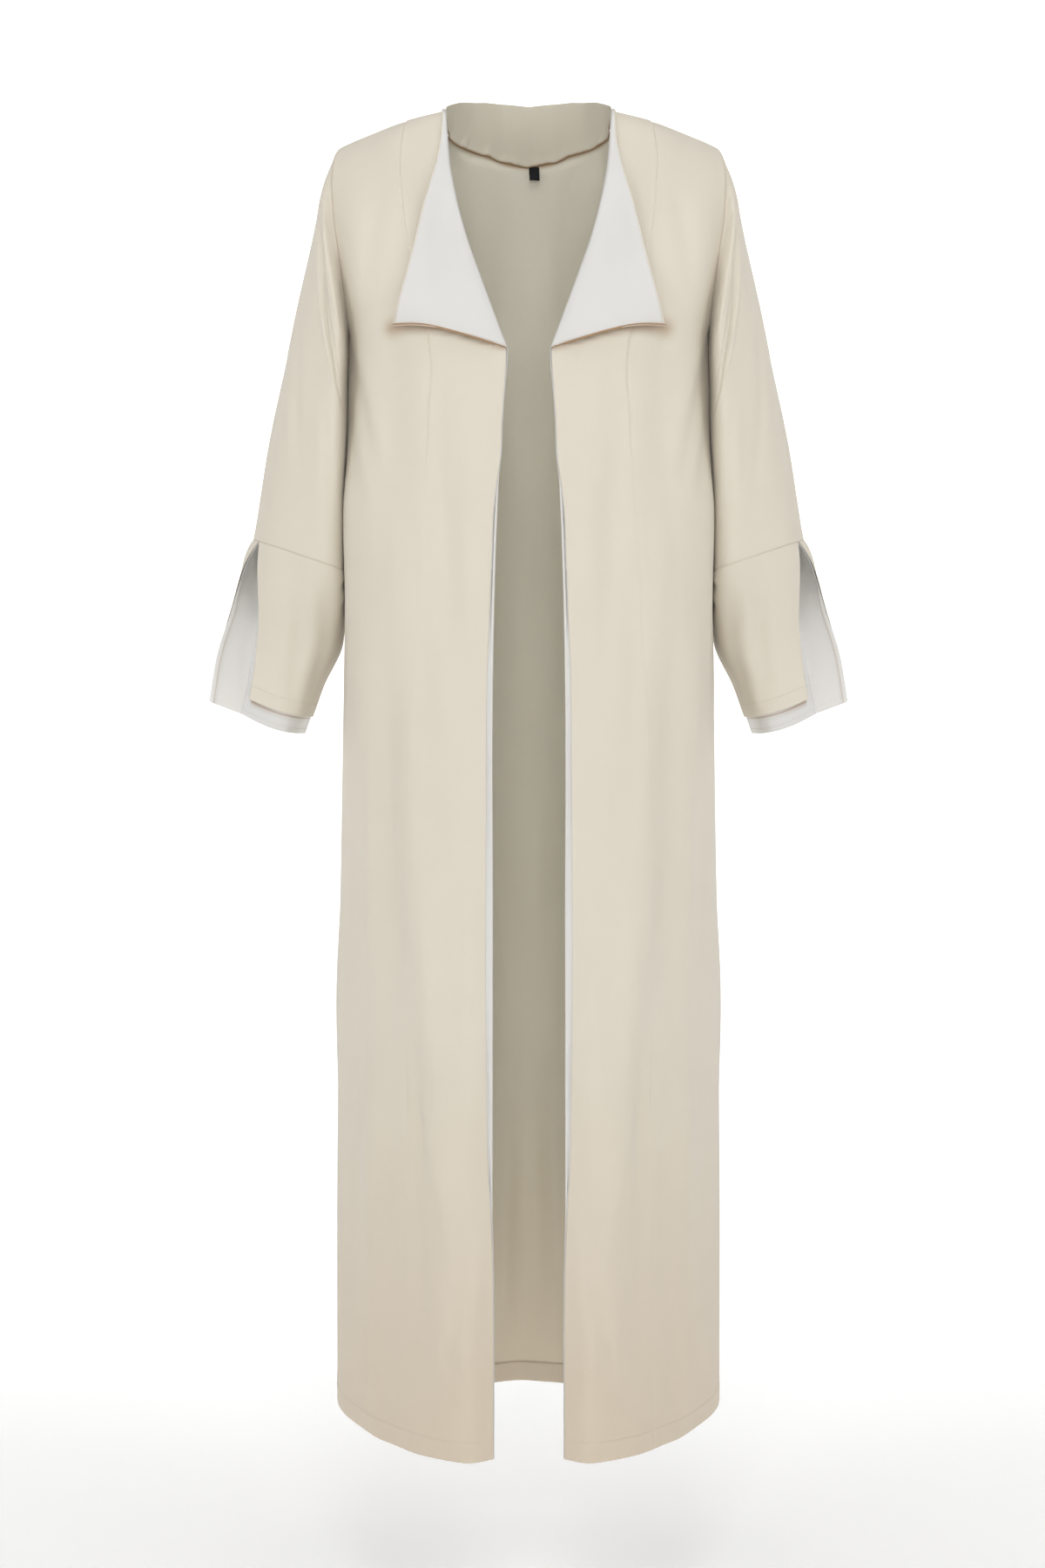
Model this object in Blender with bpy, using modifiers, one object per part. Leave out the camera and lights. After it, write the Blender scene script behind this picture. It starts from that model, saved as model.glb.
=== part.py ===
"""Open-front abaya cloak, kept in the hollow form it has when worn.

Metres, +Z up. The origin is the middle of the shoulder line, the front faces -Y and the wearer's
left side is at +X. Every piece is a panel of cloth: a lofted open surface with a Solidify wall.
Pieces that lie on a panel are made from that panel's points, moved along its normals. The left
half is worked out first, and the right half is its mirror image.
"""

from collections import namedtuple

import bmesh
import bpy
import numpy as np

# ---- Cloth -------------------------------------------------------------------------------------

CLOTH = 0.0012              # wall of the crepe panels
SATIN = 0.0010              # wall of the satin facing and cuff lining
SEAM_GAP = 0.0003           # clearance where two pieces are sewn together
SEAM_ROUND = 0.0005         # extra clearance at a seam where two walls meet at an angle
LAYER_GAP = 0.0006          # clearance between a panel and the satin that lies on it
LAYER = CLOTH / 2 + LAYER_GAP + SATIN / 2   # from a panel's middle to the middle of that satin
CURVE_POINTS = 121          # points worked out along a curve before it is divided evenly

# ---- Body: sections from the armpit to the hem --------------------------------------------------

ARMPIT_DROP = 0.247
BREAK_DROP = 0.2705         # where the lapel's roll line ends and the plain front edge begins
HEM_DROP = 1.411
BACK_SQUARENESS = 2.6
EDGE_FALL = 0.028           # how far the front edge falls back from the foremost line at the hem
EDGE_FALL_WIDTH = 0.045

Section = namedtuple("Section", "drop half_width side front back squareness roundness")
BODY_SECTIONS = (
    Section(0.247, 0.1925, 0.010, -0.126, 0.103, 2.35, 2.35),
    Section(0.305, 0.1937, 0.012, -0.130, 0.105, 2.35, 2.30),
    Section(0.407, 0.1967, 0.016, -0.138, 0.106, 2.33, 2.20),
    Section(0.556, 0.2002, 0.021, -0.150, 0.107, 2.31, 2.05),
    Section(0.726, 0.2036, 0.026, -0.163, 0.109, 2.29, 1.90),
    Section(0.954, 0.2078, 0.033, -0.182, 0.112, 2.26, 1.65),
    Section(1.240, 0.2115, 0.041, -0.206, 0.115, 2.22, 1.42),
    Section(1.411, 0.2119, 0.045, -0.221, 0.116, 2.20, 1.32),
)

# Visible front edge from the break to the hem, and the width of satin that shows beside it.
Edge = namedtuple("Edge", "drop inset reveal")
FRONT_EDGE = (
    Edge(0.2705, 0.0215, 0.0029),
    Edge(0.289, 0.0230, 0.0010),
    Edge(0.325, 0.0270, 0.0),
    Edge(0.397, 0.0305, 0.0),
    Edge(0.430, 0.0320, 0.0040),
    Edge(0.540, 0.0357, 0.0048),
    Edge(0.630, 0.0370, 0.0066),
    Edge(0.900, 0.0370, 0.0075),
    Edge(1.080, 0.0370, 0.0060),
    Edge(1.165, 0.0370, 0.0020),
    Edge(1.260, 0.0370, 0.0005),
    Edge(1.411, 0.0370, 0.0),
)

# ---- Body: boundary curves from the shoulder seam (part 0) to the armpit and break (part 1) ------

Roll = namedtuple("Roll", "part across depth drop")
ROLL_LINE = (
    Roll(0.00, 0.0880, -0.0008, 0.0045),
    Roll(0.05, 0.0868, -0.0090, 0.0100),
    Roll(0.15, 0.0855, -0.0220, 0.0330),
    Roll(0.30, 0.0832, -0.0400, 0.0630),
    Roll(0.50, 0.0761, -0.0680, 0.1025),
    Roll(0.70, 0.0650, -0.0920, 0.1490),
    Roll(0.85, 0.0499, -0.1080, 0.1930),
    Roll(0.95, 0.0327, -0.1200, 0.2400),
    Roll(1.00, 0.0215, -0.1250, 0.2705),
)

Armhole = namedtuple("Armhole", "part across front back drop")
ARMHOLE = (
    Armhole(0.00, 0.2011, -0.0008, 0.0008, 0.0428),
    Armhole(0.05, 0.2040, -0.0090, 0.0100, 0.0465),
    Armhole(0.15, 0.2075, -0.0210, 0.0240, 0.0580),
    Armhole(0.30, 0.2090, -0.0360, 0.0400, 0.0800),
    Armhole(0.50, 0.2065, -0.0550, 0.0580, 0.1200),
    Armhole(0.70, 0.2000, -0.0670, 0.0690, 0.1650),
    Armhole(0.85, 0.1950, -0.0620, 0.0660, 0.2030),
    Armhole(0.95, 0.1925, -0.0360, 0.0450, 0.2350),
    Armhole(1.00, 0.1925, 0.0098, 0.0102, 0.2470),
)

CentreBack = namedtuple("CentreBack", "part depth drop")
CENTRE_BACK = (
    CentreBack(0.00, 0.0752, 0.0496),
    CentreBack(0.25, 0.0880, 0.0900),
    CentreBack(0.60, 0.0990, 0.1600),
    CentreBack(1.00, 0.1030, 0.2470),
)

# Neck seam and the free upper edge of the back collar, from centre back (part 0) to the shoulder.
Neck = namedtuple("Neck", "part low_across low_depth low_drop top_across top_depth top_drop")
NECK = (
    Neck(0.00, 0.0000, 0.0750, 0.0490, 0.0000, 0.0800, -0.0165),
    Neck(0.20, 0.0257, 0.0715, 0.0460, 0.0258, 0.0765, -0.0184),
    Neck(0.38, 0.0448, 0.0630, 0.0400, 0.0433, 0.0670, -0.0183),
    Neck(0.53, 0.0590, 0.0540, 0.0375, 0.0588, 0.0550, -0.0153),
    Neck(0.70, 0.0757, 0.0380, 0.0325, 0.0715, 0.0350, -0.0125),
    Neck(0.85, 0.0850, 0.0200, 0.0215, 0.0800, 0.0160, -0.0065),
    Neck(1.00, 0.0885, 0.0026, 0.0058, 0.0845, 0.0016, -0.0012),
)

SHOULDER_ARCH = 0.0038      # how far the shoulder seam arches above the line between its ends

UPPER_PARTS = (0.0, 0.02, 0.05, 0.10, 0.16, 0.24, 0.33, 0.43, 0.54, 0.65, 0.75, 0.84, 0.91, 0.96, 1.0)
LOWER_DROPS = (0.289, 0.310, 0.345, 0.385, 0.430, 0.490, 0.550, 0.620, 0.700, 0.780, 0.860, 0.940,
               1.020, 1.100, 1.180, 1.260, 1.330, 1.385, 1.411)
FRONT_COLUMNS = 13
BACK_COLUMNS = 12
COLLAR_ROWS = 6
COLLAR_COLUMNS = 11
EASED_FROM = 2              # first row of a body panel that is eased
EASED_BELOW = 4             # rows below the armpit and break that are eased too
EASING_PASSES = 6
EASING = 0.5                # share of the way each point moves to the mean of its neighbours

# Soft folds: valleys run down a panel, with their place across it at the top and at the bottom.
Fold = namedtuple("Fold", "across_top across_bottom drop_top drop_bottom depth width")
FRONT_FOLDS = (
    Fold(0.40, 0.42, 0.30, 1.60, 0.0030, 0.07),
    Fold(0.58, 0.24, 0.55, 1.60, 0.0035, 0.08),
    Fold(0.72, 0.70, 0.35, 1.30, 0.0025, 0.06),
)
BACK_FOLDS = (
    Fold(0.28, 0.24, 0.22, 1.60, 0.0045, 0.09),
    Fold(0.62, 0.56, 0.30, 1.60, 0.0040, 0.09),
    Fold(0.00, 0.00, 0.80, 1.70, -0.0100, 0.10),
)
FOLD_FADE = 0.16

# ---- Lapel and facing ---------------------------------------------------------------------------

UNDER_LAPEL = 0.0020        # from the front panel's middle to the middle of the folded-back lapel
CREPE_TURN = UNDER_LAPEL / 2
SATIN_TURN = CREPE_TURN + LAYER
ROLL_SETBACK = SATIN_TURN + SATIN / 2       # from the visible roll to the edge of the flat panel
TURN_STEPS = 4
LAPEL_COLUMNS = 7
LAPEL_RISE = 0.88           # share of a row by which the outer end of the lower edge lies higher
LAPEL_WAVE = 0.25           # share of a row by which the lower edge arches up in between
SATIN_SHORT = 0.008         # share of the lapel's width left uncovered at its outer edge
SATIN_FOOT = 0.04           # share of a row left uncovered at the lapel's lower edge

Lapel = namedtuple("Lapel", "part width lift")
LAPEL = (
    Lapel(0.00, 0.0015, 0.0002),
    Lapel(0.15, 0.0055, 0.0005),
    Lapel(0.30, 0.0125, 0.0010),
    Lapel(0.50, 0.0300, 0.0020),
    Lapel(0.70, 0.0510, 0.0026),
    Lapel(0.85, 0.0755, 0.0032),
    Lapel(0.95, 0.1000, 0.0046),
    Lapel(1.00, 0.1135, 0.0065),
)

FACING_COLUMNS = 4          # the facing reaches inwards under this many columns of the front
FACING_EDGE = 0.15          # share of a further column that it covers
REVEAL_TILT = 0.13          # how far the satin comes forward for each metre that it shows

# ---- Sleeve: rings from the armhole to the cuff seam ---------------------------------------------

SLEEVE_HALF_COLUMNS = 10
SLEEVE_CLEAR = SEAM_GAP + SEAM_ROUND        # from the armhole to the sleeve's first ring, at the top
UNDERARM_CLEAR = 0.0020     # the same at the underarm
UNDERARM_RISE = 0.30        # share of the half ring, beyond its top, over which the one grows

Ring = namedtuple("Ring", "part out_across out_drop in_across in_drop middle half_depth")
SLEEVE_RINGS = (
    Ring(0.00, 0.2080, 0.0480, 0.1945, 0.2490, 0.004, 0.0690),
    Ring(0.10, 0.2175, 0.0780, 0.1956, 0.2590, 0.005, 0.0710),
    Ring(0.24, 0.2270, 0.1250, 0.1962, 0.2790, 0.006, 0.0720),
    Ring(0.42, 0.2415, 0.1900, 0.1970, 0.3160, 0.008, 0.0710),
    Ring(0.60, 0.2578, 0.2600, 0.1980, 0.3620, 0.010, 0.0680),
    Ring(0.80, 0.2772, 0.3520, 0.1995, 0.4250, 0.012, 0.0620),
    Ring(1.00, 0.2970, 0.4620, 0.2012, 0.4960, 0.014, 0.0560),
)
SLEEVE_PARTS = (0.0, 0.04, 0.10, 0.17, 0.24, 0.33, 0.42, 0.51, 0.60, 0.70, 0.80, 0.90, 1.0)
CAP_BLEND = 0.20            # the armhole's own shape fades out over this part of the sleeve

# ---- Cuff: an open band from the front of the slit, round the arm, to the back of the slit -------

SLIT_TURN = 0.225           # share of the front half ring from the outermost line to the slit
SLIT_GAP = 0.0012
CUFF_HALF_COLUMNS = 8
CUFF_PARTS = (0.0, 0.07, 0.16, 0.27, 0.39, 0.51, 0.64, 0.77, 0.89, 1.0)
CUFF_BLEND = 0.45
CUFF_SAG = 0.0035           # how far the middle of the cuff's lower edge hangs below its ends
CUFF_ROUNDNESS = 3          # power that squares the band's plan towards the inner fold

# The band out to the edges of its lining, which shows beyond the crepe at the slit and the hem.
Cuff = namedtuple("Cuff", "part slit_across slit_depth slit_drop front in_across in_drop back "
                          "flap_across flap_depth flap_drop")
CUFF = (
    Cuff(0.00, 0.2860, -0.016, 0.4700, -0.042, 0.2012, 0.4960, 0.070, 0.2860, -0.015, 0.4700),
    Cuff(0.14, 0.2885, -0.022, 0.4980, -0.043, 0.2016, 0.5200, 0.070, 0.3050, 0.024, 0.4930),
    Cuff(0.42, 0.2905, -0.030, 0.5480, -0.045, 0.2040, 0.5700, 0.071, 0.3275, 0.046, 0.5430),
    Cuff(0.70, 0.2980, -0.035, 0.5960, -0.047, 0.2235, 0.6200, 0.072, 0.3430, 0.053, 0.5860),
    Cuff(1.00, 0.3085, -0.036, 0.6490, -0.048, 0.2425, 0.6720, 0.072, 0.3525, 0.056, 0.6370),
)

Setback = namedtuple("Setback", "part front back")
CREPE_SETBACKS = (
    Setback(0.00, 0.0, 0.0),
    Setback(0.16, 0.0002, 0.0),
    Setback(0.42, 0.0015, 0.0),
    Setback(0.64, 0.0050, 0.0040),
    Setback(0.89, 0.0088, 0.0055),
)

# ---- Label --------------------------------------------------------------------------------------

LABEL_CLOTH = 0.0010
LABEL_LEFT = 0.0006
LABEL_WIDTH = 0.0110
LABEL_TOP = 0.0515
LABEL_LENGTH = 0.0140
LABEL_SPREAD = 0.0022       # how far the loose end of the label stands off the back panel
LABEL_ROWS = 4
LABEL_COLUMNS = 3

# ---- Finishes -----------------------------------------------------------------------------------

Finish = namedtuple("Finish", "slot colour roughness")
CREPE_FINISH = Finish("crepe", (0.71, 0.66, 0.55, 1.0), 0.85)
SATIN_FINISH = Finish("satin", (0.80, 0.78, 0.74, 1.0), 0.55)
LABEL_FINISH = Finish("label", (0.012, 0.012, 0.013, 1.0), 0.80)


# ---- Curves and grids ---------------------------------------------------------------------------

def read(table, key, value, places):
    """One column of a table as a smooth curve through its rows, without overshoot."""
    xs = np.array([getattr(row, key) for row in table])
    ys = np.array([getattr(row, value) for row in table])
    slopes = np.diff(ys) / np.diff(xs)
    rising = slopes[:-1] * slopes[1:] > 0
    total = np.where(rising, slopes[:-1] + slopes[1:], 1.0)
    inner = np.where(rising, 2 * slopes[:-1] * slopes[1:] / total, 0.0)
    tangents = np.concatenate([slopes[:1], inner, slopes[-1:]])
    places = np.clip(np.asarray(places, dtype=float), xs[0], xs[-1])
    low = np.clip(np.searchsorted(xs, places, side="right") - 1, 0, len(xs) - 2)
    span = xs[low + 1] - xs[low]
    t = (places - xs[low]) / span
    start = ys[low] * (2 * t**3 - 3 * t**2 + 1) + tangents[low] * span * (t**3 - 2 * t**2 + t)
    end = ys[low + 1] * (3 * t**2 - 2 * t**3) + tangents[low + 1] * span * (t**3 - t**2)
    return start + end


def stack(across, depth, drop):
    """Points from their distance across, their depth and their drop below the shoulder line."""
    return np.stack(np.broadcast_arrays(across, depth, -np.asarray(drop)), axis=-1).astype(float)


def smooth_step(value):
    """A smooth rise from 0 to 1 while the value goes from 0 to 1."""
    value = np.clip(value, 0.0, 1.0)
    return value * value * (3 - 2 * value)


def lengths(points):
    """Distance along a polyline, at each of its points."""
    steps = np.linalg.norm(np.diff(points, axis=0), axis=1)
    return np.concatenate([[0.0], np.cumsum(steps)])


def sample(points, distances):
    """Points at given distances along a polyline; a negative one goes on beyond its start."""
    along = lengths(points)
    found = np.stack([np.interp(distances, along, points[:, axis]) for axis in range(3)], axis=-1)
    outward = (points[0] - points[1]) / np.linalg.norm(points[0] - points[1])
    beyond = np.minimum(distances, 0.0)
    return found - beyond[:, None] * outward


def evenly(points, count):
    """Points at equal distances along a polyline, both ends included."""
    return sample(points, np.linspace(0.0, lengths(points)[-1], count))


def coons(top, bottom, first, last):
    """A surface patch between four boundary curves that share their corners."""
    v = np.linspace(0.0, 1.0, len(first))[:, None, None]
    u = np.linspace(0.0, 1.0, len(top))[None, :, None]
    ruled_down = (1 - v) * top[None] + v * bottom[None]
    ruled_across = (1 - u) * first[:, None] + u * last[:, None]
    corners = ((1 - v) * ((1 - u) * top[0] + u * top[-1])
               + v * ((1 - u) * bottom[0] + u * bottom[-1]))
    return ruled_down + ruled_across - corners


def relaxed(upper, lower):
    """Two patches joined, with the inner points eased down to just below the join."""
    grid = np.concatenate([upper, lower])
    end = len(upper) + EASED_BELOW
    for _ in range(EASING_PASSES):
        mean = (grid[:-2, 1:-1] + grid[2:, 1:-1] + grid[1:-1, :-2] + grid[1:-1, 2:]) / 4
        eased = grid[1:-1, 1:-1] * (1 - EASING) + mean * EASING
        grid[EASED_FROM:end, 1:-1] = eased[EASED_FROM - 1:end - 1]
    return grid


def normals(grid):
    """Unit normals of a grid whose rows run down and whose columns run towards +X."""
    down = np.gradient(grid, axis=0)
    across = np.gradient(grid, axis=1)
    cross = np.cross(down, across)
    return cross / np.linalg.norm(cross, axis=-1, keepdims=True)


def fold_depth(folds, across, drop):
    """How far the soft folds press a panel in, at places across it and drops down it."""
    depth = np.zeros(np.broadcast(across, drop).shape)
    for fold in folds:
        down = np.clip((drop - fold.drop_top) / (fold.drop_bottom - fold.drop_top), 0.0, 1.0)
        centre = fold.across_top + (fold.across_bottom - fold.across_top) * down
        fade = smooth_step((drop - fold.drop_top) / FOLD_FADE)
        fade = fade * smooth_step((fold.drop_bottom - drop) / FOLD_FADE)
        depth = depth + fold.depth * fade * np.exp(-((across - centre) / fold.width) ** 2)
    return depth


def mirrored(grid):
    return grid * np.array([-1.0, 1.0, 1.0])


# ---- Body panels --------------------------------------------------------------------------------

def plan_section(drop, outer, squareness, roundness, start):
    """Half of the body's plan at one height, from a distance across out to the side seam."""
    half_width = read(BODY_SECTIONS, "drop", "half_width", drop)
    side = read(BODY_SECTIONS, "drop", "side", drop)
    reach = read(BODY_SECTIONS, "drop", outer, drop) - side
    first = np.arcsin((start / half_width) ** (squareness / 2))
    angle = np.linspace(first, np.pi / 2, CURVE_POINTS)
    across = half_width * np.sin(angle) ** (2 / squareness)
    depth = side + reach * np.cos(angle).clip(0.0) ** (2 / roundness)
    return across, depth


def front_section(drop):
    """The front panel's row at one height below the break, from its edge to the side seam."""
    inset = read(FRONT_EDGE, "drop", "inset", drop) + read(FRONT_EDGE, "drop", "reveal", drop)
    squareness = read(BODY_SECTIONS, "drop", "squareness", drop)
    roundness = read(BODY_SECTIONS, "drop", "roundness", drop)
    across, depth = plan_section(drop, "front", squareness, roundness, inset)
    share = (drop - BREAK_DROP) / (HEM_DROP - BREAK_DROP)
    near_edge = np.clip(1 - (across - inset) / EDGE_FALL_WIDTH, 0.0, 1.0)
    depth = depth + EDGE_FALL * share**2 * near_edge**2
    depth[-1] -= SEAM_GAP / 2
    return evenly(stack(across, depth, drop), FRONT_COLUMNS)


def back_section(drop):
    """The back panel's row at one height, from centre back to the side seam."""
    across, depth = plan_section(drop, "back", BACK_SQUARENESS, BACK_SQUARENESS, 0.0)
    depth[-1] += SEAM_GAP / 2
    return evenly(stack(across, depth, drop), BACK_COLUMNS)


def shoulder_seam(neck_end, arm_end, count):
    """The arched seam between a point beside the neck and the top of the armhole."""
    seam = evenly(np.array([neck_end, arm_end]), count)
    seam[:, 2] += SHOULDER_ARCH * np.sin(np.pi * np.linspace(0.0, 1.0, count))
    return seam


def front_panel():
    """The left front without its lapel: rows from the shoulder seam to the hem."""
    parts = np.array(UPPER_PARTS)
    roll = stack(read(ROLL_LINE, "part", "across", parts) + ROLL_SETBACK,
                 read(ROLL_LINE, "part", "depth", parts), read(ROLL_LINE, "part", "drop", parts))
    arm = stack(read(ARMHOLE, "part", "across", parts), read(ARMHOLE, "part", "front", parts),
                read(ARMHOLE, "part", "drop", parts))
    shoulder = shoulder_seam(roll[0], arm[0], FRONT_COLUMNS)
    chest = front_section(BREAK_DROP)
    chest += (arm[-1] - chest[-1]) * np.linspace(0.0, 1.0, FRONT_COLUMNS)[:, None] ** 2
    roll[-1] = chest[0]
    upper = coons(shoulder, chest, roll, arm)
    lower = np.array([front_section(drop) for drop in LOWER_DROPS])
    grid = relaxed(upper, lower)
    across = np.linspace(0.0, 1.0, FRONT_COLUMNS)[None, :]
    return grid - normals(grid) * fold_depth(FRONT_FOLDS, across, -grid[..., 2])[..., None]


def neck_curve(edge):
    """Half of the collar's lower or upper edge, from centre back to its end at the shoulder."""
    part = np.linspace(0.0, 1.0, CURVE_POINTS)
    return stack(read(NECK, "part", edge + "_across", part), read(NECK, "part", edge + "_depth", part),
                 read(NECK, "part", edge + "_drop", part))


def back_panel():
    """The left half of the back, from centre back to the side: rows from the neck to the hem."""
    parts = np.array(UPPER_PARTS)
    arm = stack(read(ARMHOLE, "part", "across", parts), read(ARMHOLE, "part", "back", parts),
                read(ARMHOLE, "part", "drop", parts))
    centre = stack(0.0, read(CENTRE_BACK, "part", "depth", parts),
                   read(CENTRE_BACK, "part", "drop", parts))
    seam = neck_curve("low") + np.array([0.0, 0.0, -SEAM_GAP - CLOTH / 2])
    neck = evenly(seam, BACK_COLUMNS // 2 + 1)
    shoulder = shoulder_seam(neck[-1], arm[0], BACK_COLUMNS - BACK_COLUMNS // 2)
    top = np.concatenate([neck, shoulder[1:]])
    centre[0] = top[0]
    blades = back_section(ARMPIT_DROP)
    centre[-1] = blades[0]
    arm[-1] = blades[-1]
    upper = coons(top, blades, centre, arm)
    lower = np.array([back_section(drop) for drop in LOWER_DROPS])
    half = relaxed(upper, lower)
    across = np.linspace(0.0, 1.0, BACK_COLUMNS)[None, :]
    half = half + normals(half) * fold_depth(BACK_FOLDS, across, -half[..., 2])[..., None]
    half[:, 0, 0] = 0.0
    return half


def lapel_base(panel):
    """The part of the front panel that the lapel covers, with its normals, edge to outer end."""
    count = len(UPPER_PARTS)
    facing_out = normals(panel)
    widths = read(LAPEL, "part", "width", UPPER_PARTS)
    shares = np.linspace(0.0, 1.0, LAPEL_COLUMNS)
    base = np.array([sample(panel[row], widths[row] * shares) for row in range(count)])
    rise = LAPEL_RISE * shares + LAPEL_WAVE * np.sin(np.pi * shares**1.5)
    base[-1] += (base[-2] - base[-1]) * rise[:, None]
    out = np.array([sample_normals(panel[row], facing_out[row], widths[row] * shares)
                    for row in range(count)])
    return base, out


def sample_normals(points, directions, distances):
    """Unit directions at given distances along a polyline."""
    along = lengths(points)
    found = np.stack([np.interp(distances, along, directions[:, axis]) for axis in range(3)], axis=-1)
    return found / np.linalg.norm(found, axis=-1, keepdims=True)


def turned_edge(panel, radius, centre_height):
    """Columns that turn round the roll line, from its inner side to its outer side."""
    count = len(UPPER_PARTS)
    outward = panel[:count, 0] - panel[:count, 1]
    outward /= np.linalg.norm(outward, axis=-1, keepdims=True)
    out = normals(panel)[:count, 0]
    columns = []
    for step in range(1, TURN_STEPS):
        angle = np.pi * step / TURN_STEPS
        columns.append(panel[:count, 0] + outward * radius * np.sin(angle)
                       + out * (centre_height - radius * np.cos(angle)))
    return np.stack(columns, axis=1)


def folded_lapel(panel, height, reach):
    """The flat part of the lapel, held above the panel by a height that grows to its outer end."""
    base, out = lapel_base(panel)
    shares = np.linspace(0.0, reach, LAPEL_COLUMNS)
    lift = read(LAPEL, "part", "lift", UPPER_PARTS)[:, None] * shares[None, :] ** 1.5
    placed = base + (base[:, :1] - base) * (1 - reach)
    return placed + out * (height + lift)[..., None]


def front_patches(panel):
    """The front panel, and the lapel cut in one with it and folded back on the roll line."""
    count = len(UPPER_PARTS)
    turn = turned_edge(panel, CREPE_TURN, CREPE_TURN)
    lapel = folded_lapel(panel, UNDER_LAPEL, 1.0)
    return [panel, np.concatenate([panel[:count, :1], turn, lapel], axis=1)]


def facing_patches(panel):
    """The satin facing: a strip inside the front edge, and the lapel's visible side."""
    count = len(UPPER_PARTS)
    out = normals(panel)
    under = panel - out * LAYER
    beyond = under[:, FACING_COLUMNS + 1] - under[:, FACING_COLUMNS]
    free_edge = under[:, FACING_COLUMNS] + beyond * FACING_EDGE
    strip = np.concatenate([under[:, :FACING_COLUMNS + 1], free_edge[:, None]], axis=1)
    turn = turned_edge(panel, SATIN_TURN, CREPE_TURN)
    middle = TURN_STEPS // 2
    lower = panel[count:, 0]
    reveal = read(FRONT_EDGE, "drop", "reveal", -lower[:, 2])[:, None]
    outward = lower - panel[count:, 1]
    outward /= np.linalg.norm(outward, axis=-1, keepdims=True)
    behind = LAYER - reveal * REVEAL_TILT
    plain_edge = lower + outward * (reveal + SEAM_GAP) - out[count:, 0] * behind
    edge = np.concatenate([turn[:, middle - 1], plain_edge])
    half_turn = (under[:, 0] + edge) / 2
    half_turn[:count] = turn[:, 0]
    main = np.concatenate([edge[:, None], half_turn[:, None], strip], axis=1)
    lapel = folded_lapel(panel, UNDER_LAPEL + LAYER, 1.0 - SATIN_SHORT)
    lapel[-1] += (lapel[-2] - lapel[-1]) * SATIN_FOOT
    return [main, np.concatenate([turn[:, middle - 1:], lapel], axis=1)]


def collar_grid():
    """The collar stands on the neck seam and runs round the back of the neck."""
    low = evenly(neck_curve("low"), COLLAR_COLUMNS)
    low[:, 2] += CLOTH / 2
    top = evenly(neck_curve("top"), COLLAR_COLUMNS)
    share = np.linspace(0.0, 1.0, COLLAR_ROWS)[:, None, None]
    half = top[None] * (1 - share) + low[None] * share
    return whole(half)


def whole(half):
    """A half that starts at the centre line, joined to its mirror image."""
    return np.concatenate([mirrored(half)[:, :0:-1], half], axis=1)


def label_grid(back):
    """The label hangs from the neck seam just beside centre back, inside the back panel."""
    centre = back[:, 0]
    down = np.linspace(0.0, 1.0, LABEL_ROWS)
    drops = LABEL_TOP + LABEL_LENGTH * down
    depth = np.interp(drops, -centre[:, 2], centre[:, 1])
    stand_off = CLOTH / 2 + SEAM_GAP + LABEL_CLOTH + LABEL_SPREAD * down
    across = np.linspace(LABEL_LEFT, LABEL_LEFT + LABEL_WIDTH, LABEL_COLUMNS)
    return stack(across[None, :], (depth - stand_off)[:, None], drops[:, None])


# ---- Sleeves and cuffs --------------------------------------------------------------------------

def armhole_half(side):
    """The front or back half of the armhole, from the shoulder seam to the underarm."""
    part = np.linspace(0.0, 1.0, CURVE_POINTS)
    curve = stack(read(ARMHOLE, "part", "across", part), read(ARMHOLE, "part", side, part),
                  read(ARMHOLE, "part", "drop", part))
    return evenly(curve, SLEEVE_HALF_COLUMNS + 1)


def ring_half(part, side):
    """Half an ellipse from the sleeve's outermost line, round its front or back, to the underarm."""
    outer = stack(read(SLEEVE_RINGS, "part", "out_across", part),
                  read(SLEEVE_RINGS, "part", "middle", part),
                  read(SLEEVE_RINGS, "part", "out_drop", part))
    inner = stack(read(SLEEVE_RINGS, "part", "in_across", part),
                  read(SLEEVE_RINGS, "part", "middle", part),
                  read(SLEEVE_RINGS, "part", "in_drop", part))
    reach = read(SLEEVE_RINGS, "part", "half_depth", part) * (-1.0 if side == "front" else 1.0)
    angle = np.linspace(0.0, np.pi, CURVE_POINTS)[:, None]
    curve = (outer + inner) / 2 + (outer - inner) / 2 * np.cos(angle)
    curve = curve + np.array([0.0, reach, 0.0]) * np.sin(angle)
    return evenly(curve, SLEEVE_HALF_COLUMNS + 1)


def sleeve_half(part, side):
    """Half a ring of the sleeve: the armhole's shape at the top, an ellipse further down."""
    ring = ring_half(part, side)
    start = armhole_half(side)
    under = smooth_step(np.linspace(-UNDERARM_RISE, 1.0, SLEEVE_HALF_COLUMNS + 1))
    start[:, 0] += SLEEVE_CLEAR + (UNDERARM_CLEAR - SLEEVE_CLEAR) * under
    start[0, 1] = 0.0
    start[-1, 1] = read(BODY_SECTIONS, "drop", "side", ARMPIT_DROP)
    if part >= CAP_BLEND:
        return ring
    keep = 1 - smooth_step(part / CAP_BLEND)
    return ring + (start - ring_half(0.0, side)) * keep


def sleeve_grid():
    """A closed tube of rings; each ring ends on the point it starts from."""
    rings = []
    for part in SLEEVE_PARTS:
        front = sleeve_half(part, "front")
        back = sleeve_half(part, "back")
        rings.append(np.concatenate([front, back[-2::-1]]))
    return np.array(rings)


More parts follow.
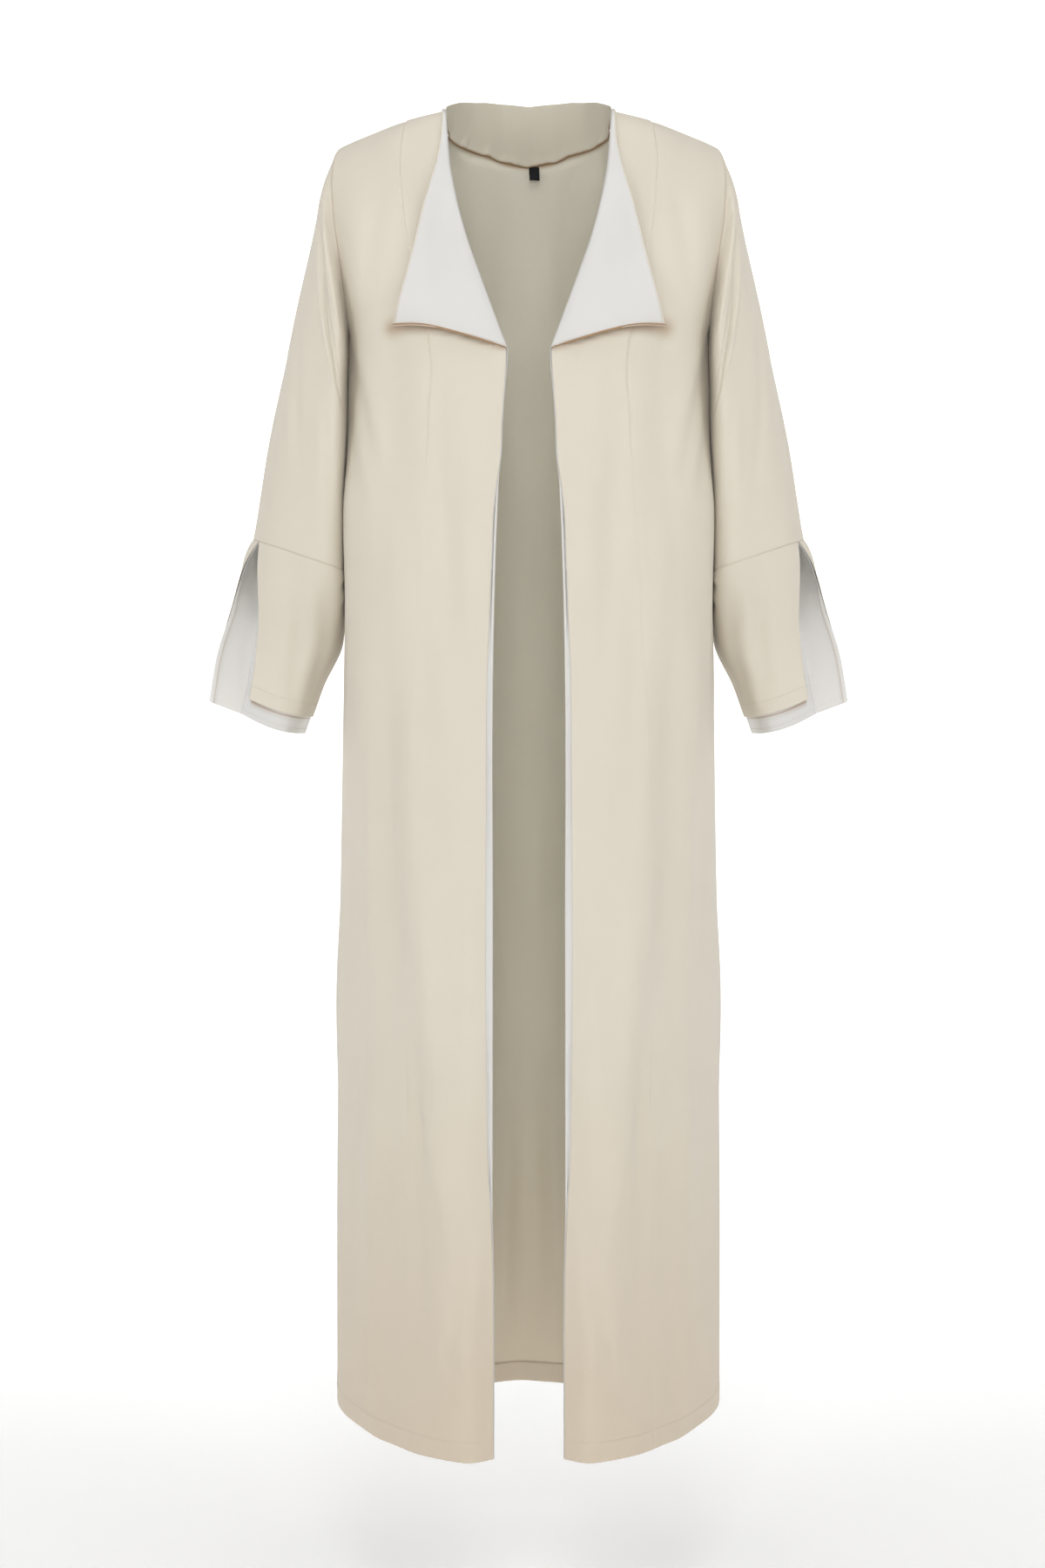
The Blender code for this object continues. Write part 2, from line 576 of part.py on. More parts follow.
def cuff_half(part, side):
    """One row of the cuff from the slit to the inner fold, along the front or the back."""
    end = "slit" if side == "front" else "flap"
    slit = stack(read(CUFF, "part", end + "_across", part), read(CUFF, "part", end + "_depth", part),
                 read(CUFF, "part", end + "_drop", part))
    middle = read(SLEEVE_RINGS, "part", "middle", 1.0)
    inner = stack(read(CUFF, "part", "in_across", part), middle, read(CUFF, "part", "in_drop", part))
    reach = read(CUFF, "part", side, part) - middle
    share = np.linspace(0.0, 1.0, CURVE_POINTS)
    curve = slit + (inner - slit) * share[:, None]
    curve[:, 2] -= CUFF_SAG * part * np.sin(np.pi * share)
    curve[:, 1] = middle + reach * (1 - share**CUFF_ROUNDNESS).clip(0.0) ** 0.5
    curve[:, 1] += (slit[1] - middle - reach) * (1 - share) ** CUFF_ROUNDNESS
    return evenly(curve, CUFF_HALF_COLUMNS + 1)


def seam_half(side):
    """The cuff's top row: the sleeve's last ring, from the slit to the inner fold."""
    front = sleeve_half(1.0, "front")
    turn = SLIT_TURN * lengths(front)[-1]
    if side == "front":
        rest = sample(front, np.linspace(turn, lengths(front)[-1], CURVE_POINTS))
    else:
        lead = sample(front, np.linspace(turn - SLIT_GAP, 0.0, SLEEVE_HALF_COLUMNS))
        rest = np.concatenate([lead[:-1], sleeve_half(1.0, "back")])
    return evenly(rest, CUFF_HALF_COLUMNS + 1) - np.array([0.0, 0.0, SEAM_GAP + SEAM_ROUND])


def cuff_base():
    """The whole band, from the front of the slit round the arm to the back of the slit."""
    rows = []
    for part in CUFF_PARTS:
        halves = []
        for side in ("front", "back"):
            keep = 1 - smooth_step(part / CUFF_BLEND)
            halves.append(cuff_half(part, side) + (seam_half(side) - cuff_half(0.0, side)) * keep)
        rows.append(np.concatenate([halves[0], halves[1][-2::-1]]))
    return np.array(rows)


def cuff_grid(base):
    """The crepe layer: it ends short of the lining at the hem and along both sides of the slit."""
    rows = []
    for part, points in zip(CUFF_PARTS[:-1], base[:-1]):
        row = points.copy()
        row[0] = sample(points, read(CREPE_SETBACKS, "part", "front", [part]))[0]
        row[-1] = sample(points[::-1], read(CREPE_SETBACKS, "part", "back", [part]))[0]
        rows.append(row)
    return np.array(rows)


def lining_grid(base):
    """The satin layer inside the cuff."""
    return base + normals(base) * LAYER


# ---- Objects ------------------------------------------------------------------------------------

def clear_scene():
    for item in list(bpy.data.objects):
        bpy.data.objects.remove(item, do_unlink=True)


def make_material(finish):
    material = bpy.data.materials.new(finish.slot)
    material.use_nodes = True
    shader = material.node_tree.nodes["Principled BSDF"]
    shader.inputs["Base Color"].default_value = finish.colour
    shader.inputs["Roughness"].default_value = finish.roughness
    shader.inputs["Metallic"].default_value = 0.0
    return material


def panel_object(name, patches, thickness, material, collection):
    """Loft each patch, weld the patches where they share an edge and give the cloth its wall."""
    mesh = bpy.data.meshes.new(name)
    shell = bmesh.new()
    for grid in patches:
        points = [[shell.verts.new(point) for point in row] for row in grid]
        for upper, lower in zip(points, points[1:]):
            for first, second, third, fourth in zip(upper, upper[1:], lower[1:], lower):
                shell.faces.new((first, second, third, fourth))
    bmesh.ops.remove_doubles(shell, verts=shell.verts, dist=0.00001)
    bmesh.ops.recalc_face_normals(shell, faces=shell.faces)
    bmesh.ops.triangulate(shell, faces=shell.faces, quad_method="FIXED")
    shell.to_mesh(mesh)
    shell.free()
    mesh.materials.append(material)
    mesh.shade_smooth()
    item = bpy.data.objects.new(name, mesh)
    collection.objects.link(item)
    wall = item.modifiers.new("Wall", "SOLIDIFY")
    wall.thickness = thickness
    wall.offset = 0.0
    return item


def build():
    clear_scene()
    collection = bpy.data.collections.new("abaya_cloak")
    bpy.context.scene.collection.children.link(collection)
    crepe = make_material(CREPE_FINISH)
    satin = make_material(SATIN_FINISH)
    ribbon = make_material(LABEL_FINISH)
    front = front_panel()
    back = back_panel()
    band = cuff_base()
    pieces = {
        "front": (front_patches(front), CLOTH, crepe),
        "facing": (facing_patches(front), SATIN, satin),
        "sleeve": ([sleeve_grid()], CLOTH, crepe),
        "cuff": ([cuff_grid(band)], CLOTH, crepe),
        "cuff_lining": ([lining_grid(band)], SATIN, satin),
    }
    for piece, (patches, thickness, material) in pieces.items():
        panel_object(piece + "_left", patches, thickness, material, collection)
        right = [mirrored(grid) for grid in patches]
        panel_object(piece + "_right", right, thickness, material, collection)
    panel_object("back", [whole(back)], CLOTH, crepe, collection)
    panel_object("collar", [collar_grid()], CLOTH, crepe, collection)
    panel_object("label", [label_grid(back)], LABEL_CLOTH, ribbon, collection)


build()
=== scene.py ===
"""Looks of an open-front abaya cloak: crepe panels, satin facings, stitching and a plain studio.

Metres, +Z up. The front faces -Y and the wearer's left side is at +X. Each panel of cloth is a thin
shell on the form of its solid. The left half is worked out first and the right half mirrors it.
"""

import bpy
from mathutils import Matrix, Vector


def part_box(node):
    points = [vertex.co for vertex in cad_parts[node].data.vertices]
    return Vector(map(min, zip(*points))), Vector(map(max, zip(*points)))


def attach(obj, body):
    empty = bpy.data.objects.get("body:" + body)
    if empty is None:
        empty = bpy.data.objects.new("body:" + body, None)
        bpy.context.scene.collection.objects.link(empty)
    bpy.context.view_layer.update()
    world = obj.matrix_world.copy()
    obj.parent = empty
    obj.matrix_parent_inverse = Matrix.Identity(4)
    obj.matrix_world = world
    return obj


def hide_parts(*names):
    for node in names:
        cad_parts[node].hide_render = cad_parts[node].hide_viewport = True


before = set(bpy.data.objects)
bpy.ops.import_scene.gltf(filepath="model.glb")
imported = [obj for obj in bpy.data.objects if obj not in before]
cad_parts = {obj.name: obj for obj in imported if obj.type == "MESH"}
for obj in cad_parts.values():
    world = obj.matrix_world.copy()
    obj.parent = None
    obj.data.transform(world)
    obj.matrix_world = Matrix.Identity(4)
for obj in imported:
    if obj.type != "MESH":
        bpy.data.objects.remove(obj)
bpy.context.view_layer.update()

import math
from collections import namedtuple
from functools import reduce

import bmesh
import bpy
import numpy as np
from bpy.props import FloatProperty, FloatVectorProperty, PointerProperty

bl_info = {
    "name": "Abaya Cloak",
    "version": (1, 0, 0),
    "blender": (4, 5, 0),
    "location": "3D View > Sidebar > Abaya",
    "description": "Builds the panels, facings, stitching and studio of an open-front abaya cloak",
    "category": "Add Mesh",
}

# ---- Form of the panels ----

UNDER_LAPEL = 0.0020        # from the front panel's middle to the middle of the folded-back lapel
LAYER = 0.0017              # from a panel's middle to the middle of the satin that lies on it
CREPE_TURN = UNDER_LAPEL / 2
SATIN_TURN = CREPE_TURN + LAYER
ROLL_SETBACK = SATIN_TURN + 0.0005
TURN_STEPS = 4
CURVE_POINTS = 161

ARMPIT_DROP = 0.247
BREAK_DROP = 0.2705
HEM_DROP = 1.411
BACK_SQUARENESS = 2.6
EDGE_FALL = 0.028
EDGE_FALL_WIDTH = 0.045

Section = namedtuple("Section", "drop half_width side front back squareness roundness")
BODY_SECTIONS = (
    Section(0.247, 0.1915, -0.030, -0.126, 0.103, 2.95, 2.65),
    Section(0.305, 0.1922, -0.034, -0.130, 0.105, 2.95, 2.65),
    Section(0.407, 0.1936, -0.036, -0.138, 0.106, 2.90, 2.60),
    Section(0.556, 0.1968, -0.030, -0.150, 0.107, 2.80, 2.45),
    Section(0.726, 0.2012, -0.010, -0.163, 0.109, 2.65, 2.15),
    Section(0.954, 0.2072, 0.018, -0.182, 0.112, 2.50, 1.80),
    Section(1.240, 0.2115, 0.039, -0.206, 0.115, 2.35, 1.50),
    Section(1.411, 0.2119, 0.045, -0.221, 0.116, 2.30, 1.38),
)

Edge = namedtuple("Edge", "drop inset reveal")
FRONT_EDGE = (
    Edge(0.2705, 0.0215, 0.0029),
    Edge(0.289, 0.0230, 0.0010),
    Edge(0.325, 0.0270, 0.0),
    Edge(0.397, 0.0305, 0.0),
    Edge(0.430, 0.0320, 0.0040),
    Edge(0.540, 0.0357, 0.0048),
    Edge(0.630, 0.0370, 0.0066),
    Edge(0.900, 0.0370, 0.0075),
    Edge(1.080, 0.0370, 0.0060),
    Edge(1.165, 0.0370, 0.0020),
    Edge(1.260, 0.0370, 0.0005),
    Edge(1.411, 0.0370, 0.0),
)

Roll = namedtuple("Roll", "part across depth drop")
ROLL_LINE = (
    Roll(0.00, 0.0880, 0.0002, 0.0045),
    Roll(0.05, 0.0868, -0.0086, 0.0100),
    Roll(0.15, 0.0855, -0.0220, 0.0330),
    Roll(0.30, 0.0832, -0.0400, 0.0630),
    Roll(0.50, 0.0761, -0.0680, 0.1025),
    Roll(0.70, 0.0650, -0.0920, 0.1490),
    Roll(0.85, 0.0499, -0.1080, 0.1930),
    Roll(0.95, 0.0327, -0.1200, 0.2400),
    Roll(1.00, 0.0215, -0.1250, 0.2705),
)

Armhole = namedtuple("Armhole", "part across front back drop")
ARMHOLE = (
    Armhole(0.00, 0.2011, -0.0001, 0.0001, 0.0428),
    Armhole(0.05, 0.2040, -0.0090, 0.0100, 0.0465),
    Armhole(0.15, 0.2075, -0.0210, 0.0240, 0.0580),
    Armhole(0.30, 0.2090, -0.0360, 0.0400, 0.0800),
    Armhole(0.50, 0.2065, -0.0550, 0.0580, 0.1200),
    Armhole(0.70, 0.2000, -0.0670, 0.0690, 0.1650),
    Armhole(0.85, 0.1950, -0.0620, 0.0660, 0.2030),
    Armhole(0.95, 0.1920, -0.0500, 0.0300, 0.2350),
    Armhole(1.00, 0.1915, -0.0300, -0.0300, 0.2470),
)

CentreBack = namedtuple("CentreBack", "part depth drop")
CENTRE_BACK = (
    CentreBack(0.00, 0.0752, 0.0496),
    CentreBack(0.25, 0.0880, 0.0900),
    CentreBack(0.60, 0.0990, 0.1600),
    CentreBack(1.00, 0.1030, 0.2470),
)

Neck = namedtuple("Neck", "part low_across low_depth low_drop top_across top_depth top_drop")
NECK = (
    Neck(0.00, 0.0000, 0.0750, 0.0490, 0.0000, 0.0800, -0.0165),
    Neck(0.20, 0.0257, 0.0715, 0.0460, 0.0258, 0.0765, -0.0184),
    Neck(0.38, 0.0448, 0.0630, 0.0400, 0.0433, 0.0670, -0.0183),
    Neck(0.53, 0.0590, 0.0540, 0.0375, 0.0588, 0.0550, -0.0160),
    Neck(0.70, 0.0760, 0.0380, 0.0325, 0.0715, 0.0350, -0.0125),
    Neck(0.85, 0.0885, 0.0200, 0.0262, 0.0822, 0.0160, -0.0065),
    Neck(1.00, 0.0905, 0.0012, 0.0058, 0.0880, 0.0006, -0.0012),
)

SHOULDER_ARCH = 0.0038
UPPER_PARTS = (0.0, 0.02, 0.05, 0.10, 0.16, 0.24, 0.33, 0.43, 0.54, 0.65, 0.75, 0.84, 0.91, 0.96, 1.0)
LOWER_DROPS = (0.289, 0.310, 0.345, 0.385, 0.430, 0.490, 0.550, 0.620, 0.700, 0.780, 0.860, 0.940,
               1.020, 1.100, 1.180, 1.260, 1.330, 1.385, 1.411)
FRONT_COLUMNS = 13
BACK_COLUMNS = 12
EASED_FROM = 2
EASED_BELOW = 4
EASING_PASSES = 6
EASING = 0.5

Fold = namedtuple("Fold", "across_top across_bottom drop_top drop_bottom depth width")
FRONT_FOLDS = (
    Fold(0.40, 0.42, 0.30, 1.60, 0.0030, 0.07),
    Fold(0.58, 0.24, 0.55, 1.60, 0.0035, 0.08),
    Fold(0.72, 0.70, 0.35, 1.30, 0.0025, 0.06),
)
BACK_FOLDS = (
    Fold(0.28, 0.24, 0.22, 1.60, 0.0045, 0.09),
    Fold(0.62, 0.56, 0.30, 1.60, 0.0040, 0.09),
    Fold(0.00, 0.00, 0.80, 1.70, -0.0100, 0.10),
)
FOLD_FADE = 0.16

LAPEL_COLUMNS = 7
LAPEL_RISE = 0.88
LAPEL_WAVE = 0.25
SATIN_SHORT = 0.008
SATIN_FOOT = 0.04

Lapel = namedtuple("Lapel", "part width lift")
LAPEL = (
    Lapel(0.00, 0.0006, 0.0002),
    Lapel(0.15, 0.0050, 0.0005),
    Lapel(0.30, 0.0125, 0.0010),
    Lapel(0.50, 0.0300, 0.0020),
    Lapel(0.70, 0.0510, 0.0026),
    Lapel(0.85, 0.0755, 0.0050),
    Lapel(0.95, 0.1000, 0.0085),
    Lapel(1.00, 0.1135, 0.0140),
)

FACING_COLUMNS = 4
FACING_EDGE = 0.15
REVEAL_TILT = 0.18

Ring = namedtuple("Ring", "part out_across out_drop in_across in_drop middle half_depth")
SLEEVE_RINGS = (
    Ring(0.00, 0.2080, 0.0480, 0.1932, 0.2490, 0.004, 0.0690),
    Ring(0.10, 0.2175, 0.0780, 0.1930, 0.2590, 0.005, 0.0710),
    Ring(0.24, 0.2270, 0.1250, 0.1926, 0.2790, 0.006, 0.0720),
    Ring(0.42, 0.2415, 0.1900, 0.1933, 0.3160, 0.008, 0.0710),
    Ring(0.60, 0.2578, 0.2600, 0.1941, 0.3620, 0.010, 0.0680),
    Ring(0.80, 0.2772, 0.3520, 0.1953, 0.4250, 0.012, 0.0620),
    Ring(1.00, 0.2970, 0.4620, 0.1970, 0.4960, 0.014, 0.0560),
)
CAP_BLEND = 0.20
SLEEVE_SQUARENESS = 3.2
INNER_FORWARD = 0.040       # from a sleeve's middle forward to its innermost line

SLIT_TURN = 0.262
SLIT_GAP = 0.0012
CUFF_BLEND = 0.45
CUFF_SAG = 0.0035
CUFF_ROUNDNESS = 6
SLIT_ROUNDNESS = 3.8

Cuff = namedtuple("Cuff", "part slit_across slit_depth slit_drop front in_across in_drop back "
                          "flap_across flap_depth flap_drop")
CUFF = (
    Cuff(0.00, 0.2860, -0.016, 0.4700, -0.042, 0.1970, 0.4960, 0.070, 0.2860, -0.015, 0.4700),
    Cuff(0.14, 0.2885, -0.022, 0.4980, -0.043, 0.1976, 0.5200, 0.070, 0.3050, 0.008, 0.4930),
    Cuff(0.42, 0.2905, -0.030, 0.5480, -0.045, 0.2012, 0.5700, 0.071, 0.3275, 0.032, 0.5430),
    Cuff(0.70, 0.2980, -0.035, 0.5960, -0.047, 0.2235, 0.6200, 0.072, 0.3430, 0.044, 0.5860),
    Cuff(1.00, 0.3085, -0.036, 0.6490, -0.048, 0.2425, 0.6720, 0.072, 0.3525, 0.050, 0.6370),
)

Setback = namedtuple("Setback", "part front back")
CREPE_SETBACKS = (
    Setback(0.00, 0.0, 0.0),
    Setback(0.16, 0.0002, 0.0),
    Setback(0.42, 0.0015, 0.0),
    Setback(0.64, 0.0050, 0.0040),
    Setback(0.89, 0.0088, 0.0055),
)
CREPE_END = 0.89            # part of the cuff at which its crepe ends

# ---- Creases: soft troughs on curves with three points, sizes in metres ----

CREASE_STEPS = 12
CREASE_FADE = 0.8
CREASE_RIDGE = 0.45         # height of a crease's ridge for a depth of one

# Across is the distance from centre front or centre back, and drop is below the shoulder line.
Crease = namedtuple("Crease", "across drop bend_across bend_drop end_across end_drop depth width")
FRONT_CREASES = (
    Crease(0.1455, 0.300, 0.1590, 0.640, 0.1376, 1.000, 0.0014, 0.0140),
    Crease(0.1300, 0.850, 0.1190, 1.100, 0.1090, 1.400, 0.0016, 0.0110),
    Crease(0.0962, 0.290, 0.0930, 0.450, 0.0760, 0.640, 0.0009, 0.0120),
    Crease(0.1833, 0.650, 0.1890, 0.980, 0.1790, 1.330, 0.0012, 0.0100),
    Crease(0.0580, 1.130, 0.0680, 1.280, 0.0960, 1.350, 0.0008, 0.0070),
    Crease(0.0860, 1.285, 0.0770, 1.315, 0.0640, 1.345, 0.0007, 0.0048),
    Crease(0.1245, 1.030, 0.1165, 1.065, 0.1090, 1.110, 0.0007, 0.0050),
    Crease(0.1075, 1.110, 0.0970, 1.165, 0.0860, 1.235, 0.0008, 0.0065),
    Crease(0.1510, 0.075, 0.1680, 0.140, 0.1690, 0.230, 0.0007, 0.0090),
    Crease(0.1925, 0.262, 0.1760, 0.320, 0.1600, 0.410, 0.0010, 0.0070),
    Crease(0.1915, 0.300, 0.1840, 0.360, 0.1770, 0.440, 0.0007, 0.0055),
    Crease(0.1600, 1.240, 0.1530, 1.320, 0.1560, 1.405, 0.0009, 0.0090),
)
BACK_CREASES = (
    Crease(0.1500, 0.090, 0.1640, 0.160, 0.1620, 0.260, 0.0009, 0.0100),
    Crease(0.1905, 0.262, 0.1600, 0.330, 0.1350, 0.450, 0.0012, 0.0080),
    Crease(0.1880, 0.300, 0.1740, 0.380, 0.1640, 0.500, 0.0008, 0.0060),
    Crease(0.0560, 0.100, 0.0780, 0.220, 0.0740, 0.400, 0.0010, 0.0130),
    Crease(0.0660, 0.480, 0.0560, 0.850, 0.0700, 1.250, 0.0018, 0.0150),
    Crease(0.1260, 0.520, 0.1400, 0.880, 0.1230, 1.300, 0.0017, 0.0130),
    Crease(0.1780, 0.700, 0.1840, 1.000, 0.1760, 1.340, 0.0012, 0.0100),
    Crease(0.0250, 1.020, 0.0340, 1.200, 0.0290, 1.395, 0.0013, 0.0110),
    Crease(0.0950, 1.150, 0.0880, 1.280, 0.0930, 1.400, 0.0010, 0.0090),
    Crease(0.1000, 0.880, 0.1080, 0.960, 0.1030, 1.060, 0.0007, 0.0060),
)
# Across is the distance round the half sleeve from its outermost line, drop is along the sleeve.
SLEEVE_LENGTH = 0.40
SLEEVE_CREASES = (
    Crease(0.070, 0.070, 0.122, 0.118, 0.202, 0.205, 0.0024, 0.0068),
    Crease(0.092, 0.080, 0.140, 0.116, 0.190, 0.150, 0.0012, 0.0060),
    Crease(0.064, 0.170, 0.084, 0.260, 0.110, 0.345, 0.0012, 0.0085),
    Crease(0.030, 0.245, 0.050, 0.320, 0.052, 0.385, 0.0009, 0.0080),
    Crease(0.145, 0.235, 0.150, 0.300, 0.142, 0.365, 0.0010, 0.0075),
    Crease(0.105, 0.015, 0.080, 0.040, 0.050, 0.085, 0.0008, 0.0070),
)
CUFF_CREASES = (
    Crease(0.140, 0.004, 0.126, 0.016, 0.104, 0.021, 0.0008, 0.0032),
    Crease(0.142, 0.024, 0.127, 0.036, 0.106, 0.040, 0.0008, 0.0034),
    Crease(0.141, 0.056, 0.128, 0.064, 0.110, 0.066, 0.0006, 0.0034),
    Crease(0.052, 0.008, 0.046, 0.080, 0.056, 0.150, 0.0010, 0.0080),
    Crease(0.086, 0.006, 0.076, 0.080, 0.082, 0.155, 0.0009, 0.0080),
)
LAPEL_DENTS = (
    Crease(0.0120, 0.110, 0.0330, 0.165, 0.0420, 0.245, 0.0013, 0.0130),
    Crease(0.0300, 0.215, 0.0550, 0.250, 0.0800, 0.262, 0.0006, 0.0090),
)

# Long, shallow waves that every panel has: turns in a metre across and down, and where each starts.
Wave = namedtuple("Wave", "across_turns drop_turns start")
CLOTH_WAVES = (
    Wave(9.0, 1.3, 0.10),
    Wave(14.0, -2.1, 0.45),
    Wave(6.0, 3.3, 0.70),
    Wave(21.0, 1.9, 0.25),
    Wave(11.0, -4.2, 0.90),
)

Echo = namedtuple("Echo", "across shift drop start strength")
BACK_ECHO = Echo(-1.04, 0.0, 0.97, 0.018, 0.9)
SLEEVE_ECHO = Echo(1.05, -0.004, 0.95, 0.012, 0.8)

Pucker = namedtuple("Pucker", "share length start")
PUCKERS = (Pucker(1.0, 0.0173, 0.0), Pucker(1.0, 0.0287, 1.3), Pucker(0.7, 0.0109, 0.4))


# ---- Curves and grids ----

def read(table, value, places):
    """One column of a table as a smooth curve over its first column, without overshoot."""
    xs = np.array([row[0] for row in table])
    ys = np.array([getattr(row, value) for row in table])
    slopes = np.diff(ys) / np.diff(xs)
    rising = slopes[:-1] * slopes[1:] > 0
    total = np.where(rising, slopes[:-1] + slopes[1:], 1.0)
    inner = np.where(rising, 2 * slopes[:-1] * slopes[1:] / total, 0.0)
    tangents = np.concatenate([slopes[:1], inner, slopes[-1:]])
    places = np.clip(np.asarray(places, dtype=float), xs[0], xs[-1])
    low = np.clip(np.searchsorted(xs, places, side="right") - 1, 0, len(xs) - 2)
    span = xs[low + 1] - xs[low]
    t = (places - xs[low]) / span
    start = ys[low] * (2 * t**3 - 3 * t**2 + 1) + tangents[low] * span * (t**3 - 2 * t**2 + t)
    end = ys[low + 1] * (3 * t**2 - 2 * t**3) + tangents[low + 1] * span * (t**3 - t**2)
    return start + end


def stack(across, depth, drop):
    """Points from their distance across, their depth and their drop below the shoulder line."""
    return np.stack(np.broadcast_arrays(across, depth, -np.asarray(drop)), axis=-1).astype(float)


def traced(table, part, across="across", depth="depth", drop="drop"):
    """Points at parts of the way along a table's curve, from three of its columns."""
    return stack(*(read(table, column, part) for column in (across, depth, drop)))


def smooth_step(value):
    value = np.clip(value, 0.0, 1.0)
    return value * value * (3 - 2 * value)


def calm(distance, width, lead=0.0):
    """A factor that lets relief die out towards an edge."""
    return smooth_step((distance + lead) / width)


def bell(distance, width):
    """One at no distance, and hardly anything beyond twice the width."""
    return np.exp(-(distance / width) ** 2)


def lengths(points):
    """Distance along a polyline, at each of its points."""
    steps = np.linalg.norm(np.diff(points, axis=0), axis=1)
    return np.concatenate([[0.0], np.cumsum(steps)])


def carried(points, values, distances):
    """Vectors given at a polyline's points, at other distances along it."""
    along = lengths(points)
    return np.stack([np.interp(distances, along, values[:, axis]) for axis in range(3)], axis=-1)


def sample(points, distances):
    """Points at given distances along a polyline; a negative one goes on beyond its start."""
    found = carried(points, points, distances)
    outward = (points[0] - points[1]) / np.linalg.norm(points[0] - points[1])
    beyond = np.minimum(distances, 0.0)
    return found - beyond[:, None] * outward


def unit(vectors):
    return vectors / np.linalg.norm(vectors, axis=-1, keepdims=True)


def evenly(points, count):
    """Points at equal distances along a polyline."""
    return sample(points, np.linspace(0.0, lengths(points)[-1], count))


def coons(top, bottom, first, last):
    """A surface patch between four boundary curves that share their corners."""
    v = np.linspace(0.0, 1.0, len(first))[:, None, None]
    u = np.linspace(0.0, 1.0, len(top))[None, :, None]
    ruled_down = (1 - v) * top[None] + v * bottom[None]
    ruled_across = (1 - u) * first[:, None] + u * last[:, None]
    corners = ((1 - v) * ((1 - u) * top[0] + u * top[-1])
               + v * ((1 - u) * bottom[0] + u * bottom[-1]))
    return ruled_down + ruled_across - corners


def relaxed(upper, lower):
    """Two patches joined, with the inner points eased down to just below the join."""
    grid = np.concatenate([upper, lower])
    end = len(upper) + EASED_BELOW
    for _ in range(EASING_PASSES):
        mean = (grid[:-2, 1:-1] + grid[2:, 1:-1] + grid[1:-1, :-2] + grid[1:-1, 2:]) / 4
        eased = grid[1:-1, 1:-1] * (1 - EASING) + mean * EASING
        grid[EASED_FROM:end, 1:-1] = eased[EASED_FROM - 1:end - 1]
    return grid


def normals(grid):
    """Unit normals of a grid whose rows run down and whose columns run towards +X."""
    down = np.gradient(grid, axis=0)
    across = np.gradient(grid, axis=1)
    cross = np.cross(down, across)
    return cross / np.maximum(np.linalg.norm(cross, axis=-1, keepdims=True), 1e-12)


def fold_depth(folds, across, drop):
    """How far the large folds press a panel in, at places across it and drops down it."""
    depth = np.zeros(np.broadcast(across, drop).shape)
    for fold in folds:
        down = np.clip((drop - fold.drop_top) / (fold.drop_bottom - fold.drop_top), 0.0, 1.0)
        centre = fold.across_top + (fold.across_bottom - fold.across_top) * down
        fade = calm(drop - fold.drop_top, FOLD_FADE) * calm(fold.drop_bottom - drop, FOLD_FADE)
        depth = depth + fold.depth * fade * bell(across - centre, fold.width)
    return depth


def mirrored(grid):
    return grid * np.array([-1.0, 1.0, 1.0])


def whole(half):
    """A half that starts at the centre line, joined to its mirror image."""
    return np.concatenate([mirrored(half)[:, :0:-1], half], axis=1)


def through(points, places):
    """Points at fractional places along the first axis, on smooth curves through the given ones."""
    ends = (2 * points[:1] - points[1:2], 2 * points[-1:] - points[-2:-1])
    padded = np.concatenate([ends[0], points, ends[1]])
    low = np.clip(np.floor(places).astype(int), 0, len(points) - 2)
    t = (places - low).reshape(-1, *([1] * (points.ndim - 1)))
    before, start, end, after = (padded[low + step] for step in range(4))
    return 0.5 * (2 * start + (end - before) * t
                  + (2 * before - 5 * start + 4 * end - after) * t**2
                  + (3 * start - 3 * end + after - before) * t**3)


def refined(grid, rows, columns):
    return through(through(grid, rows).swapaxes(0, 1), columns).swapaxes(0, 1)


def edge_distances(grid, axis):
    """Distance of each point of a grid from its first and from its last edge along an axis."""
    steps = np.linalg.norm(np.diff(grid, axis=axis), axis=-1)
    along = np.cumsum(steps, axis=axis)
    zero = np.zeros_like(np.take(along, [0], axis=axis))
    from_first = np.concatenate([zero, along], axis=axis)
    return from_first, np.take(from_first, [-1], axis=axis) - from_first


def rolled(distance, width, depth):
    """How far a seamed edge turns in: a quarter round over the last of the cloth."""
    share = np.clip(1 - distance / width, 0.0, 1.0)
    return -depth * (1 - np.sqrt(1 - share**2))


def creased(creases, across, drop, strength):
    """Relief of soft troughs, each with a low ridge on one side, that fade out at both ends."""
    relief = np.zeros(np.broadcast(across, drop).shape)
    t = np.linspace(0.0, 1.0, CREASE_STEPS + 1)[:, None]
    for crease in creases:
        start = np.array([crease.across, crease.drop])
        bend = np.array([crease.bend_across, crease.bend_drop])
        end = np.array([crease.end_across, crease.end_drop])
        path = (1 - t)**2 * start + 2 * t * (1 - t) * bend + t**2 * end
        nearest = np.full(relief.shape, 1.0)
        side = np.zeros(relief.shape)
        along = np.zeros(relief.shape)
        for index, (first, second) in enumerate(zip(path, path[1:])):
            step = second - first
            place = (across - first[0]) * step[0] + (drop - first[1]) * step[1]
            place = np.clip(place / (step @ step), 0.0, 1.0)
            gap_across = across - first[0] - place * step[0]
            gap_drop = drop - first[1] - place * step[1]
            gap = np.hypot(gap_across, gap_drop)
            nearer = gap < nearest
            nearest = np.where(nearer, gap, nearest)
            side = np.where(nearer, np.sign(step[0] * gap_drop - step[1] * gap_across), side)
            along = np.where(nearer, (index + place) / CREASE_STEPS, along)
        fade = np.sin(np.pi * along).clip(0.0) ** CREASE_FADE
        trough = bell(nearest, crease.width)
        ridge = bell(nearest * side - 2 * crease.width, crease.width)
        relief += crease.depth * fade * (CREASE_RIDGE * ridge - trough)
    return relief * strength


def echoed(creases, echo, across, drop, strength):
    """The relief of a panel's creases once more, moved and stretched so that no two look alike."""
    return creased(creases, across * echo.across + echo.shift, drop * echo.drop + echo.start,
                   strength * echo.strength)


